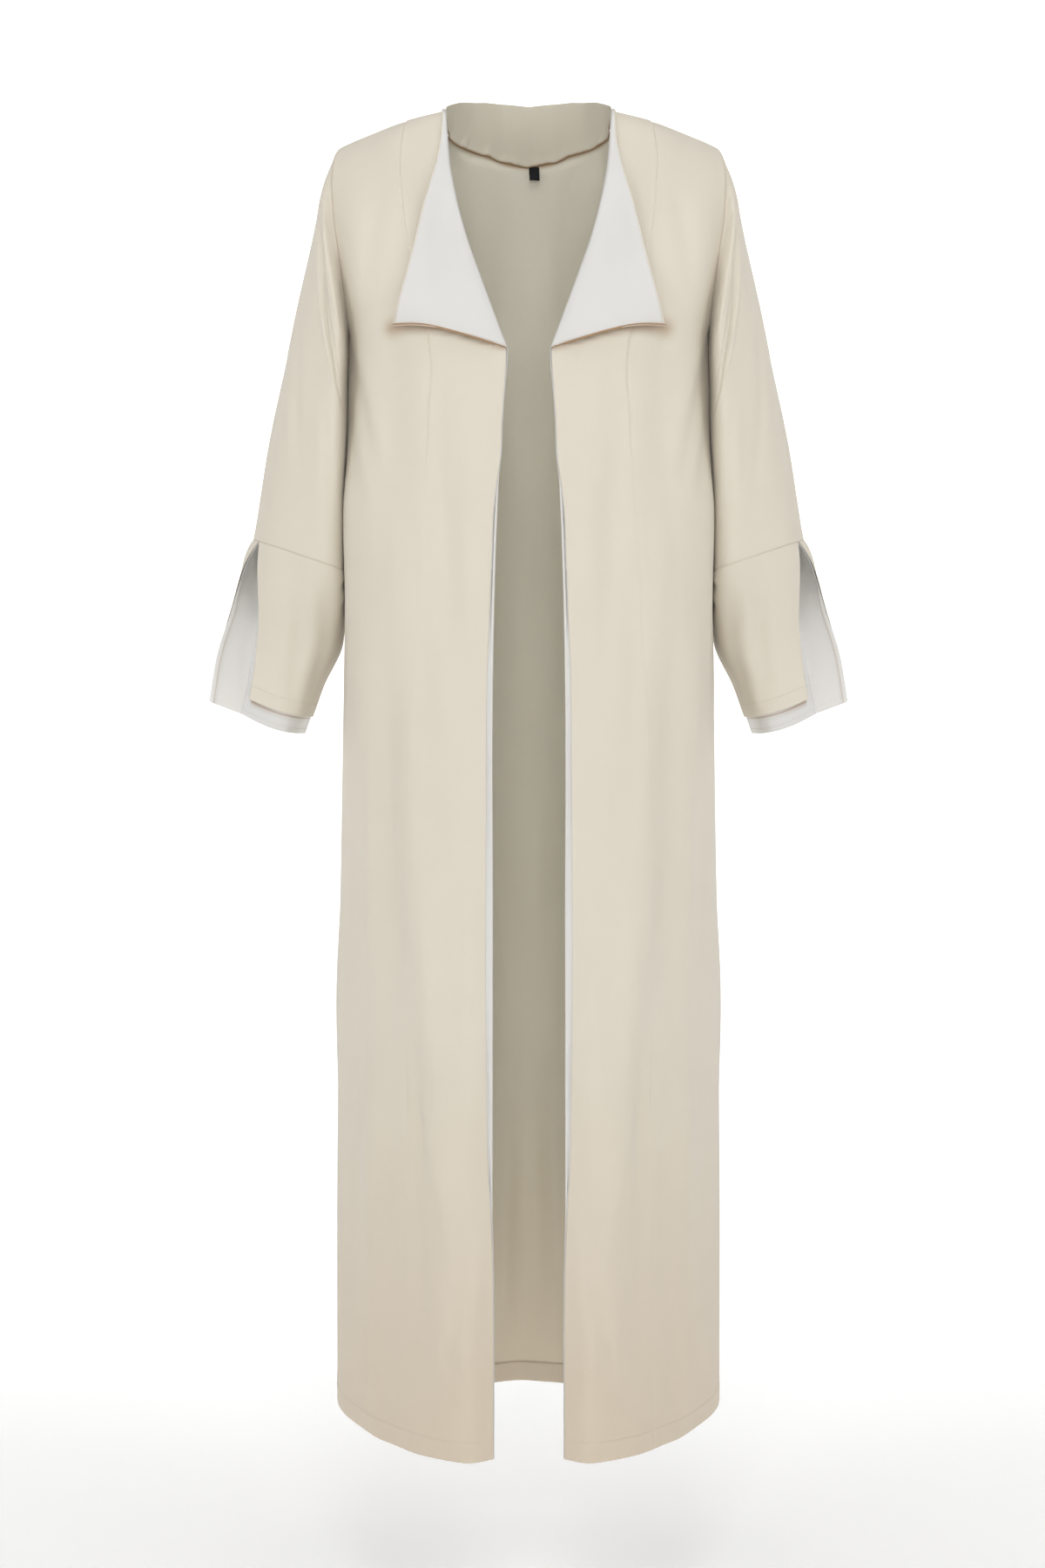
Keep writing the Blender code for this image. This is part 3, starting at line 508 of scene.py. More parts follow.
def waved(across, drop, height):
    """Relief of the long, shallow waves of hanging cloth."""
    turns = (across * wave.across_turns + drop * wave.drop_turns + wave.start for wave in CLOTH_WAVES)
    return sum(np.sin(2 * np.pi * turn) for turn in turns) * height / len(CLOTH_WAVES)


def puckered(along, distance, reach, height):
    """Small uneven puckers along a row of stitches."""
    ripple = sum(part.share * np.sin(2 * np.pi * along / part.length + part.start)
                 for part in PUCKERS)
    return height * ripple * bell(distance, reach)


# ---- Body panels ----

def plan_section(drop, outer, squareness, roundness, start):
    """Half of the body's plan at one height, from a distance across out to the side seam."""
    half_width = read(BODY_SECTIONS, "half_width", drop)
    side = read(BODY_SECTIONS, "side", drop)
    reach = read(BODY_SECTIONS, outer, drop) - side
    first = np.arcsin((start / half_width) ** (squareness / 2))
    angle = np.linspace(first, np.pi / 2, CURVE_POINTS)
    across = half_width * np.sin(angle) ** (2 / squareness)
    depth = side + reach * np.cos(angle).clip(0.0) ** (2 / roundness)
    return across, depth


def front_section(drop):
    """The front panel's row at one height below the break, from its edge to the side seam."""
    inset = read(FRONT_EDGE, "inset", drop) + read(FRONT_EDGE, "reveal", drop)
    powers = (read(BODY_SECTIONS, column, drop) for column in ("squareness", "roundness"))
    across, depth = plan_section(drop, "front", *powers, inset)
    share = (drop - BREAK_DROP) / (HEM_DROP - BREAK_DROP)
    near_edge = np.clip(1 - (across - inset) / EDGE_FALL_WIDTH, 0.0, 1.0)
    depth = depth + EDGE_FALL * share**2 * near_edge**2
    return evenly(stack(across, depth, drop), FRONT_COLUMNS)


def back_section(drop):
    across, depth = plan_section(drop, "back", BACK_SQUARENESS, BACK_SQUARENESS, 0.0)
    return evenly(stack(across, depth, drop), BACK_COLUMNS)


def shoulder_seam(neck_end, arm_end, count):
    seam = evenly(np.array([neck_end, arm_end]), count)
    seam[:, 2] += SHOULDER_ARCH * np.sin(np.pi * np.linspace(0.0, 1.0, count))
    return seam


def front_panel():
    """The left front without its lapel: rows from the shoulder seam to the hem."""
    parts = np.array(UPPER_PARTS)
    roll = traced(ROLL_LINE, parts) + [ROLL_SETBACK, 0.0, 0.0]
    arm = traced(ARMHOLE, parts, depth="front")
    shoulder = shoulder_seam(roll[0], arm[0], FRONT_COLUMNS)
    chest = front_section(BREAK_DROP)
    chest += (arm[-1] - chest[-1]) * np.linspace(0.0, 1.0, FRONT_COLUMNS)[:, None] ** 2
    roll[-1] = chest[0]
    upper = coons(shoulder, chest, roll, arm)
    lower = np.array([front_section(drop) for drop in LOWER_DROPS])
    grid = relaxed(upper, lower)
    across = np.linspace(0.0, 1.0, FRONT_COLUMNS)[None, :]
    return grid - normals(grid) * fold_depth(FRONT_FOLDS, across, -grid[..., 2])[..., None]


def neck_curve(edge):
    """Half of the collar's lower or upper edge, from centre back to its end at the shoulder."""
    part = np.linspace(0.0, 1.0, CURVE_POINTS)
    return traced(NECK, part, edge + "_across", edge + "_depth", edge + "_drop")


def back_panel():
    """The left half of the back, from centre back to the side: rows from the neck to the hem."""
    parts = np.array(UPPER_PARTS)
    arm = traced(ARMHOLE, parts, depth="back")
    centre = stack(0.0, read(CENTRE_BACK, "depth", parts), read(CENTRE_BACK, "drop", parts))
    neck = evenly(neck_curve("low"), BACK_COLUMNS // 2 + 1)
    shoulder = shoulder_seam(neck[-1], arm[0], BACK_COLUMNS - BACK_COLUMNS // 2)
    top = np.concatenate([neck, shoulder[1:]])
    centre[0] = top[0]
    blades = back_section(ARMPIT_DROP)
    centre[-1] = blades[0]
    arm[-1] = blades[-1]
    upper = coons(top, blades, centre, arm)
    lower = np.array([back_section(drop) for drop in LOWER_DROPS])
    half = relaxed(upper, lower)
    across = np.linspace(0.0, 1.0, BACK_COLUMNS)[None, :]
    half = half + normals(half) * fold_depth(BACK_FOLDS, across, -half[..., 2])[..., None]
    half[:, 0, 0] = 0.0
    return half


def sample_normals(points, directions, distances):
    """Unit directions at given distances along a polyline."""
    return unit(carried(points, directions, distances))


def turned_edge(panel, radius, centre_height):
    """Columns that turn round the roll line, from its inner side to its outer side."""
    count = len(UPPER_PARTS)
    outward = unit(panel[:count, 0] - panel[:count, 1])
    out = normals(panel)[:count, 0]
    columns = []
    for step in range(1, TURN_STEPS):
        angle = np.pi * step / TURN_STEPS
        columns.append(panel[:count, 0] + outward * radius * np.sin(angle)
                       + out * (centre_height - radius * np.cos(angle)))
    return np.stack(columns, axis=1)


def folded_lapel(panel, height, reach):
    """The flat part of the lapel, held above the panel by a height that grows to its outer end."""
    count = len(UPPER_PARTS)
    facing_out = normals(panel)
    widths = read(LAPEL, "width", UPPER_PARTS)
    shares = np.linspace(0.0, 1.0, LAPEL_COLUMNS)
    base = np.array([sample(panel[row], widths[row] * shares) for row in range(count)])
    rise = LAPEL_RISE * shares + LAPEL_WAVE * np.sin(np.pi * shares**1.5)
    base[-1] += (base[-2] - base[-1]) * rise[:, None]
    out = np.array([sample_normals(panel[row], facing_out[row], widths[row] * shares)
                    for row in range(count)])
    lift = read(LAPEL, "lift", UPPER_PARTS)[:, None] * reach * shares[None, :]
    placed = base + (base[:, :1] - base) * (1 - reach)
    return placed + out * (height + lift)[..., None]


def crepe_lapel(panel):
    """The lapel's crepe side, which turns round the roll line and lies on the front."""
    turn = turned_edge(panel, CREPE_TURN, CREPE_TURN)
    lapel = folded_lapel(panel, UNDER_LAPEL, 1.0)
    return np.concatenate([panel[:len(UPPER_PARTS), :1], turn, lapel], axis=1)


def facing_strip(panel):
    """The satin strip inside the front, out to the edge where a little of it shows."""
    count = len(UPPER_PARTS)
    out = normals(panel)
    under = panel - out * LAYER
    beyond = under[:, FACING_COLUMNS + 1] - under[:, FACING_COLUMNS]
    free_edge = under[:, FACING_COLUMNS] + beyond * FACING_EDGE
    strip = np.concatenate([under[:, :FACING_COLUMNS + 1], free_edge[:, None]], axis=1)
    turn = turned_edge(panel, SATIN_TURN, CREPE_TURN)
    lower = panel[count:, 0]
    reveal = read(FRONT_EDGE, "reveal", -lower[:, 2])[:, None]
    outward = unit(lower - panel[count:, 1])
    behind = LAYER - reveal * REVEAL_TILT
    plain_edge = lower + outward * reveal - out[count:, 0] * behind
    edge = np.concatenate([turn[:, TURN_STEPS // 2 - 1], plain_edge])
    half_turn = (under[:, 0] + edge) / 2
    half_turn[:count] = turn[:, 0]
    return np.concatenate([edge[:, None], half_turn[:, None], strip], axis=1)


def satin_lapel(panel):
    """The lapel's satin side, from the roll line to just short of the crepe's edge."""
    turn = turned_edge(panel, SATIN_TURN, CREPE_TURN)
    lapel = folded_lapel(panel, UNDER_LAPEL + LAYER, 1.0 - SATIN_SHORT)
    lapel[-1] += (lapel[-2] - lapel[-1]) * SATIN_FOOT
    return np.concatenate([turn[:, TURN_STEPS // 2 - 1:], lapel], axis=1)


# ---- Sleeves and cuffs ----

SLEEVE_HALF = 46            # columns of half a sleeve
CUFF_HALF = 44


def ring_half(part, side):
    """Half a squarish ring, from the sleeve's outermost line round one side to its innermost line."""
    outer = traced(SLEEVE_RINGS, part, "out_across", "middle", "out_drop")
    inner = traced(SLEEVE_RINGS, part, "in_across", "middle", "in_drop")
    inner[1] -= INNER_FORWARD
    reach = read(SLEEVE_RINGS, "half_depth", part) * (-1.0 if side == "front" else 1.0)
    angle = np.linspace(0.0, np.pi, CURVE_POINTS)[:, None]
    wide = np.sign(np.cos(angle)) * np.abs(np.cos(angle)) ** (2 / SLEEVE_SQUARENESS)
    curve = (outer + inner) / 2 + (outer - inner) / 2 * wide
    curve = curve + np.array([0.0, reach, 0.0]) * np.sin(angle).clip(0.0) ** (2 / SLEEVE_SQUARENESS)
    return evenly(curve, SLEEVE_HALF + 1)


def sleeve_half(part, side):
    """Half a ring of the sleeve: the armhole's shape at the top, a squarish ring further down."""
    ring = ring_half(part, side)
    if part >= CAP_BLEND:
        return ring
    start = evenly(traced(ARMHOLE, np.linspace(0.0, 1.0, CURVE_POINTS), depth=side),
                   SLEEVE_HALF + 1)
    keep = 1 - smooth_step(part / CAP_BLEND)
    return ring + (start - ring_half(0.0, side)) * keep


def cuff_half(part, side):
    """One row of the cuff from the slit to the inner fold, along the front or the back."""
    end = "slit" if side == "front" else "flap"
    slit = traced(CUFF, part, end + "_across", end + "_depth", end + "_drop")
    middle = read(SLEEVE_RINGS, "middle", 1.0)
    inner = stack(read(CUFF, "in_across", part), middle, read(CUFF, "in_drop", part))
    reach = read(CUFF, side, part) - middle
    share = np.linspace(0.0, 1.0, CURVE_POINTS)
    curve = slit + (inner - slit) * share[:, None]
    curve[:, 2] -= CUFF_SAG * part * np.sin(np.pi * share)
    curve[:, 1] = middle + reach * (1 - share**CUFF_ROUNDNESS).clip(0.0) ** 0.5
    curve[:, 1] += (slit[1] - middle - reach) * (1 - share) ** SLIT_ROUNDNESS
    return evenly(curve, CUFF_HALF + 1)


def seam_half(side):
    """The cuff's top row: the sleeve's last ring, from the slit to the inner fold."""
    front = sleeve_half(1.0, "front")
    turn = SLIT_TURN * lengths(front)[-1]
    if side == "front":
        rest = sample(front, np.linspace(turn, lengths(front)[-1], CURVE_POINTS))
    else:
        lead = sample(front, np.linspace(turn - SLIT_GAP, 0.0, SLEEVE_HALF // 4))
        rest = np.concatenate([lead[:-1], sleeve_half(1.0, "back")])
    return evenly(rest, CUFF_HALF + 1)


def cuff_row(part):
    halves = []
    for side in ("front", "back"):
        keep = 1 - smooth_step(part / CUFF_BLEND)
        halves.append(cuff_half(part, side) + (seam_half(side) - cuff_half(0.0, side)) * keep)
    return np.concatenate([halves[0], halves[1][-2::-1]])


# ---- Mesh building ----

EDGE_STEPS = (0.0004, 0.0009, 0.0014, 0.0020, 0.0028, 0.0040)
LINE_STEPS = (-0.0026, -0.0016, -0.0009, -0.0004, 0.0, 0.0004, 0.0009, 0.0016, 0.0026)
LINE_CLEARANCE = 0.0008     # kept free of evenly spaced points beside a fine line
WELD = 0.00001
HEM_TURN_STEPS = 5
THREAD_SIDES = 6
THREAD_RINGS = 5            # of one stitch
THREAD_TAPER = 0.94
STITCH_LEAN = 0.12          # part of a stitch's length that it leans aside
LEAN_TURN = 2.4
STITCH_ARCH = 1.6
EDGING_END = 3              # half widths over which an edging's ends draw in
EDGING_TIP = 0.03

# A patch's points, and its seam mask, which marks where shade is painted into the cloth's colour.
Patch = namedtuple("Patch", "points seam")


def places(cells, spacing, fine_start=True, fine_end=True, fine_at=()):
    """Fractional places over cells of given lengths, about evenly spaced but closer at fine ends.

    They are closer at the distances fine_at too, where a negative one is taken from the end.
    """
    cells = np.asarray(cells)
    corners = np.concatenate([[0.0], np.cumsum(cells)])
    spots = []
    for start, length in zip(corners, cells):
        count = max(1, math.ceil(length / spacing))
        spots += list(start + length * np.arange(count) / count)
    spots.append(corners[-1])
    if fine_start:
        spots = [spot for spot in spots if not 0 < spot < EDGE_STEPS[-1]] + list(EDGE_STEPS)
    if fine_end:
        near = corners[-1] - EDGE_STEPS[-1]
        spots = [spot for spot in spots if not near < spot < corners[-1]]
        spots += [corners[-1] - step for step in EDGE_STEPS]
    for middle in fine_at:
        middle = middle + corners[-1] if middle < 0 else middle
        reach = LINE_STEPS[-1] + LINE_CLEARANCE
        spots = [spot for spot in spots if abs(spot - middle) > reach or spot in corners]
        line = [middle + step for step in LINE_STEPS]
        spots += [spot for spot in line if np.abs(corners - spot).min() > LINE_STEPS[-1] / 6]
    return np.interp(sorted(spots), corners, np.arange(len(corners)))


def cell_lengths(grid, axis):
    steps = np.linalg.norm(np.diff(grid, axis=axis), axis=-1)
    return steps.mean(axis=1 - axis)


def lay_out(grid):
    """Cloth coordinates in metres, across each row from its middle and down the columns."""
    across = edge_distances(grid, 1)[0]
    across = across - across[:, -1:] / 2
    down = edge_distances(grid, 0)[0].mean(axis=1, keepdims=True) + np.zeros_like(across)
    return np.stack([across, down], axis=-1)


def seam_shade_mask(*distances, reach=0.0012):
    """A mask for painted shade in the hollows of a panel's seams, from the distances to them."""
    return bell(reduce(np.minimum, distances), reach)


def turned_hem(points, out, depth, gap, rows=7):
    """A panel's points, out directions and distances with its hem turned up on the inside."""
    below = unit(points[-1] - points[-2])
    turns = [points[-1] + (below * np.sin(angle) - out[-1] * (1 - np.cos(angle))) * gap / 2
             for angle in np.linspace(0.0, np.pi, HEM_TURN_STEPS + 1)[1:-1]]
    climb = np.concatenate([[0.0], np.linspace(depth / rows, depth, rows)])
    inside = np.empty((len(climb), points.shape[1], 3))
    for column in range(points.shape[1]):
        upward = points[::-1, column]
        place = sample(upward, climb)
        inside[:, column] = place - sample_normals(upward, out[::-1, column], climb) * gap
    return np.concatenate([points, np.array(turns), inside])


def extended(values, rows):
    """Values of a patch repeated down for the rows that its turned hem adds."""
    return np.concatenate([values, np.repeat(values[-1:], rows - len(values), axis=0)])


def grid_faces(rows, columns, first):
    corner = first + np.arange(rows * columns).reshape(rows, columns)
    quads = np.stack([corner[:-1, :-1], corner[:-1, 1:], corner[1:, 1:], corner[1:, :-1]], axis=-1)
    return quads.reshape(-1, 4)


def linked(name, data):
    """An object of that name for a mesh, a light or a camera, in the scene."""
    item = bpy.data.objects.new(name, data)
    bpy.context.scene.collection.objects.link(item)
    return item


def smooth_object(name, shell, material, mesh=None):
    """A smooth object from a finished shell, in a new mesh or in the one given."""
    mesh = mesh or bpy.data.meshes.new(name)
    shell.to_mesh(mesh)
    shell.free()
    mesh.shade_smooth()
    mesh.materials.append(material)
    return linked(name, mesh)


def cloth_piece(name, node, patches, wall, material, wrong_side=None, faces_to=None):
    """Join patches into one open sheet that stands for a solid, and give the cloth its wall.

    The edges that patches share are welded. Where the cloth's wrong side has a material of its
    own, faces_to is the way its right side mostly looks.
    """
    points, layouts, seams, faces, first = [], [], [], [], 0
    for patch in patches:
        rows, columns = patch.points.shape[:2]
        points.append(patch.points.reshape(-1, 3))
        layouts.append(lay_out(patch.points).reshape(-1, 2))
        seams.append(np.broadcast_to(patch.seam, (rows, columns)).reshape(-1))
        faces.append(grid_faces(rows, columns, first))
        first += rows * columns
    points, layouts = np.concatenate(points), np.concatenate(layouts)
    faces = np.concatenate(faces)
    mesh = bpy.data.meshes.new(name)
    mesh.from_pydata(points.tolist(), [], faces.tolist())
    layer = mesh.uv_layers.new(name="cloth")
    layer.data.foreach_set("uv", layouts[faces.reshape(-1)].reshape(-1))
    # The seam attribute holds the mask of painted shade.
    mask = mesh.attributes.new("seam", "FLOAT", "POINT")
    mask.data.foreach_set("value", np.concatenate(seams))
    shell = bmesh.new()
    shell.from_mesh(mesh)
    bmesh.ops.remove_doubles(shell, verts=shell.verts, dist=WELD)
    bmesh.ops.recalc_face_normals(shell, faces=shell.faces)
    if wrong_side:
        looks = sum((face.normal * face.calc_area() for face in shell.faces), Vector())
        if looks.dot(Vector(faces_to)) < 0:
            bmesh.ops.reverse_faces(shell, faces=shell.faces)
    item = smooth_object(name, shell, material, mesh)
    solid = item.modifiers.new("Wall", "SOLIDIFY")
    solid.thickness = wall
    solid.offset = 0.0
    if wrong_side:
        mesh.materials.append(wrong_side)
        solid.material_offset = 1
    return place_piece(item, [node])


def add_tube(shell, rings):
    """Close a tube round a row of rings of points."""
    verts = [[shell.verts.new(point) for point in ring] for ring in rings]
    for upper, lower in zip(verts, verts[1:]):
        for index in range(len(upper)):
            after = (index + 1) % len(upper)
            shell.faces.new((upper[index], upper[after], lower[after], lower[index]))
    shell.faces.new(verts[0][::-1])
    shell.faces.new(verts[-1])


def swept_object(name, path, out, half_width, half_height, material, sides=10):
    """A rounded edging swept along a path, with its ends drawn in."""
    side = unit(np.cross(unit(np.gradient(path, axis=0)), out))
    along = lengths(path)
    taper = np.minimum(along, along[-1] - along) / (EDGING_END * half_width)
    taper = np.sqrt(np.clip(taper, EDGING_TIP, 1.0))[:, None, None]
    angle = np.linspace(0.0, 2 * np.pi, sides, endpoint=False)[None, :, None]
    shell = bmesh.new()
    add_tube(shell, path[:, None] + side[:, None] * half_width * np.cos(angle) * taper
             + out[:, None] * half_height * np.sin(angle) * taper)
    bmesh.ops.recalc_face_normals(shell, faces=shell.faces)
    return smooth_object(name, shell, material)


def stitched_object(name, rows, settings, material):
    """Rows of short stitches, each a rounded thread that dips into the cloth at both ends."""
    share = np.linspace(-1.0, 1.0, THREAD_RINGS)
    reach = settings.radius * np.sqrt(1 - (share * THREAD_TAPER) ** 2)[:, None]
    angle = np.linspace(0.0, 2 * np.pi, THREAD_SIDES, endpoint=False)
    arch = settings.radius * (1.0 - STITCH_ARCH * share**2)
    pitch = settings.length + settings.gap
    shell = bmesh.new()
    for path, out in rows:
        for index in range(int(lengths(path)[-1] / pitch)):
            spots = (index + 0.5) * pitch + share * settings.length / 2
            centres = sample(path, spots)
            up = sample_normals(path, out, spots)
            side = np.cross(unit(centres[-1] - centres[0]), up)
            lean = STITCH_LEAN * settings.length * math.sin(index * LEAN_TURN)
            centres = centres + up * arch[:, None] + side * (lean * share)[:, None]
            add_tube(shell, centres[:, None] + side[:, None] * (reach * np.cos(angle))[..., None]
                     + up[:, None] * (reach * np.sin(angle))[..., None])
    bmesh.ops.recalc_face_normals(shell, faces=shell.faces)
    return smooth_object(name, shell, material)


def place_piece(item, nodes=()):
    """Fix a piece to the cloak and hide the solids that it stands for."""
    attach(item, "root")
    if nodes:
        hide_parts(*nodes)
    return item


def both_sides(patches):
    """The left piece's patches and the right piece's, under the endings of their names."""
    right = [patch._replace(points=mirrored(patch.points)) for patch in patches]
    return (("left", patches), ("right", right))


def thread_row(points, out, distances, line, wall):
    """The row of a panel that lies nearest its stitch line, on the cloth's right side."""
    row = int(np.abs(distances - line).argmin())
    return points[row] + out[row] * wall / 2, out[row]


def sewn(name, rows, side=""):
    """The stitches along a piece's rows, mirrored for the right side."""
    if side == "right":
        rows = [(mirrored(path), mirrored(out)) for path, out in rows]
    settings = bpy.context.scene.abaya_stitch
    return place_piece(stitched_object(name + side, rows, settings, woven("cream_thread")))


# ---- Finishes ----

SOCKETS = {tuple: "NodeSocketColor", float: "NodeSocketFloat", type(None): "NodeSocketVector"}
GREY = (0.7, 0.7, 0.7, 1.0)


def new_group(name, inputs, outputs):
    """A shader node group with named sockets, for colours, numbers and, where None, vectors."""
    group = bpy.data.node_groups.new(name, "ShaderNodeTree")
    for way, sockets in (("INPUT", inputs), ("OUTPUT", outputs)):
        for label, value in sockets.items():
            socket = group.interface.new_socket(name=label, in_out=way,
                                                socket_type=SOCKETS[type(value)])
            if way == "INPUT" and value is not None:
                socket.default_value = value
    return group, group.nodes.new("NodeGroupInput").outputs, group.nodes.new("NodeGroupOutput").inputs


def feed(tree, socket, value):
    """Link a socket to an input, or set the input's own value, or leave it as it is for None."""
    if isinstance(value, bpy.types.NodeSocket):
        tree.links.new(value, socket)
    elif value is not None:
        socket.default_value = value


def feed_all(tree, node, values):
    """Feed a node's inputs, by name, with sockets or values; returns the node."""
    for name, value in values.items():
        feed(tree, node.inputs[name], value)
    return node


def fed_node(tree, kind, values):
    return feed_all(tree, tree.nodes.new(kind), values)


def maths(tree, operation, first, second=None):
    """The output of a math node."""
    node = tree.nodes.new("ShaderNodeMath")
    node.operation = operation
    for socket, value in zip(node.inputs, (first, second)):
        feed(tree, socket, value)
    return node.outputs["Value"]


def noise(tree, vector, scale, detail, roughness=0.5):
    return fed_node(tree, "ShaderNodeTexNoise", {
        "Vector": vector, "Scale": scale, "Detail": detail, "Roughness": roughness}).outputs["Fac"]


def mixed(tree, share, first, second, blend="MIX"):
    """The output of a colour mix, whose sockets share their names with those of other types."""
    node = tree.nodes.new("ShaderNodeMix")
    node.data_type = "RGBA"
    node.blend_type = blend
    sockets = {item.identifier: item for item in (*node.inputs, *node.outputs)}
    for name, value in (("Factor_Float", share), ("A_Color", first), ("B_Color", second)):
        feed(tree, sockets[name], value)
    return sockets["Result_Color"]


def ranged(tree, value, low, high, start=0.0, end=1.0):
    """A value between start and end spread over another range."""
    return fed_node(tree, "ShaderNodeMapRange", {
        "Value": value, "From Min": start, "From Max": end, "To Min": low,
        "To Max": high}).outputs["Result"]


def split_axes(tree, vector):
    return fed_node(tree, "ShaderNodeSeparateXYZ", {"Vector": vector}).outputs


BROAD_SCALE = 9.0
FINE_SCALE = 900.0
HEM_SHADE_START = 1.00            # distance down the cloth at which its painted hem shade begins, and where it is full
HEM_SHADE_END = 1.45
CRINKLE_DRIFT = 5.0         # how far the crinkle pushes the threads aside, in radians


def tone_group():
    """Slow and fine changes of a cloth's colour, as dye and yarn give them, and a painted shade that
    darkens it towards the hem.
    """
    group, ways, result = new_group("Cloth Tone", {
        "Colour": GREY, "Deep Colour": (0.6, 0.6, 0.6, 1.0), "Vector": None, "Broad": 0.35,
        "Fine": 0.25, "Low Colour": (1.0, 1.0, 1.0, 1.0)}, {"Colour": GREY})
    broad = maths(group, "MULTIPLY", noise(group, ways["Vector"], BROAD_SCALE, 3.0), ways["Broad"])
    fine = maths(group, "MULTIPLY", noise(group, ways["Vector"], FINE_SCALE, 2.0), ways["Fine"])
    colour = mixed(group, maths(group, "ADD", broad, fine), ways["Colour"], ways["Deep Colour"])
    # Painted shade: the colour is darkened towards the hem.
    lower = ranged(group, split_axes(group, ways["Vector"])["Y"], 0.0, 1.0, HEM_SHADE_START, HEM_SHADE_END)
    feed(group, result["Colour"], mixed(group, lower, colour, ways["Low Colour"], "MULTIPLY"))
    return group


def weave_group():
    """Threads that cross over and under each other, made uneven by a crinkle in the yarn."""
    group, ways, result = new_group("Cloth Weave", {
        "Vector": None, "Across": 2400.0, "Along": 2400.0, "Crinkle": 0.5, "Crinkle Scale": 700.0},
        {"Height": 0.0, "Thread": 0.0})
    crinkle = noise(group, ways["Vector"], ways["Crinkle Scale"], 3.0, 0.6)
    axes = split_axes(group, ways["Vector"])
    drift = maths(group, "MULTIPLY", crinkle, CRINKLE_DRIFT)
    waves = []
    for axis, count in (("X", "Across"), ("Y", "Along")):
        turns = maths(group, "MULTIPLY", axes[axis], ways[count])
        turns = maths(group, "MULTIPLY", turns, 2 * math.pi)
        waves.append(maths(group, "SINE", maths(group, "ADD", turns, drift)))
    crossing = maths(group, "MULTIPLY", *waves)
    thread = ranged(group, maths(group, "ADD", maths(group, "MULTIPLY", crossing, 0.5), 0.5), 0.0, 1.0)
    rest = maths(group, "MULTIPLY", thread, maths(group, "SUBTRACT", 1.0, ways["Crinkle"]))
    rough = maths(group, "MULTIPLY", crinkle, ways["Crinkle"])
    feed(group, result["Height"], maths(group, "ADD", rest, rough))
    feed(group, result["Thread"], thread)
    return group


def seam_group():
    """Painted shade: the cloth's colour is darkened by a tint in the hollow of a seam and wherever
    else its mask of painted shade reaches.
    """
    group, ways, result = new_group("Seam Shade", {
        "Colour": GREY, "Shade": (0.7, 0.6, 0.5, 1.0), "Seam": 0.0, "Amount": 0.5}, {"Colour": GREY})
    amount = maths(group, "MULTIPLY", ways["Seam"], ways["Amount"])
    feed(group, result["Colour"], mixed(group, amount, ways["Colour"], ways["Shade"], "MULTIPLY"))
    return group


def placed_group(tree, name, values):
    """A node for one of the shared groups, which is built the first time it is asked for."""
    makers = {"Cloth Tone": tone_group, "Cloth Weave": weave_group, "Seam Shade": seam_group}
    shared = bpy.data.node_groups.get(name) or makers[name]()
    node = tree.nodes.new("ShaderNodeGroup")
    node.node_tree = shared
    return feed_all(tree, node, values).outputs


Cloth = namedtuple("Cloth", "threads_across threads_along crinkle crinkle_scale bump roughness "
                            "roughness_span sheen specular broad fine")
CREPE_CLOTH = Cloth(2300.0, 2100.0, 0.62, 850.0, 0.00016, 0.80, 0.12, 0.18, 0.30, 0.34, 0.30)
SATIN_CLOTH = Cloth(3600.0, 900.0, 0.20, 260.0, 0.00004, 0.40, 0.10, 0.28, 0.45, 0.22, 0.16)
RIBBON_CLOTH = Cloth(1500.0, 4200.0, 0.10, 600.0, 0.00010, 0.62, 0.12, 0.04, 0.22, 0.40, 0.50)
THREAD_CLOTH = Cloth(5200.0, 5200.0, 0.30, 2000.0, 0.00004, 0.55, 0.10, 0.15, 0.40, 0.20, 0.30)


# What each woven material is made of: the setting that gives its colour and its share of it, its
# deeper tone as a setting or as a share of the colour, and how much its seams shade it.
Look = namedtuple("Look", "colour share deep cloth seam_amount")
LOOKS = {
    "cream_crepe": Look("crepe", 1.0, "crepe_deep", CREPE_CLOTH, 0.85),
    # The crepe's wrong side: lighter than its right side, painted light inside the hollow cloak.
    "crepe_inside": Look("inside", 1.0, 0.92, CREPE_CLOTH, 1.0),
    # The collar's inner side: the crepe in a darker colour, painted shade.
    "collar_inside": Look("collar", 1.0, 0.92, CREPE_CLOTH, 1.0),
    "white_satin": Look("satin", 1.0, "satin_deep", SATIN_CLOTH, 0.45),
    "lining_outside": Look("lining", 0.79, 0.97, SATIN_CLOTH, 0.9),
    # The lining's inner side: the same satin at a higher share, painted light in the slit.
    "lining_inside": Look("lining", 1.02, 0.97, SATIN_CLOTH, 0.9),
    # The lapel's lower edging: crepe darkened by the seam shade's tint, a painted shadow line.
    "shaded_edging": Look("crepe", 1.0, 0.8, CREPE_CLOTH, 0.0),
    "black_ribbon": Look("label", 1.0, 0.6, RIBBON_CLOTH, 0.3),
    "cream_thread": Look("thread", 1.0, 0.85, THREAD_CLOTH, 0.0),
}
# Materials with painted shade towards the hem, and the setting of its tint.
HEM_SHADE_TINTS = {"cream_crepe": "low", "crepe_inside": "inside_hem_shade"}
RIBBON_SHADE = (0.8, 0.8, 0.8)
BUMP_STRENGTH = 0.6
SHEEN_ROUGHNESS = 0.45


def opaque(colour, share=1.0):
    """A colour, or a share of it, as a node's socket takes it."""
    return (*(value * share for value in colour), 1.0)


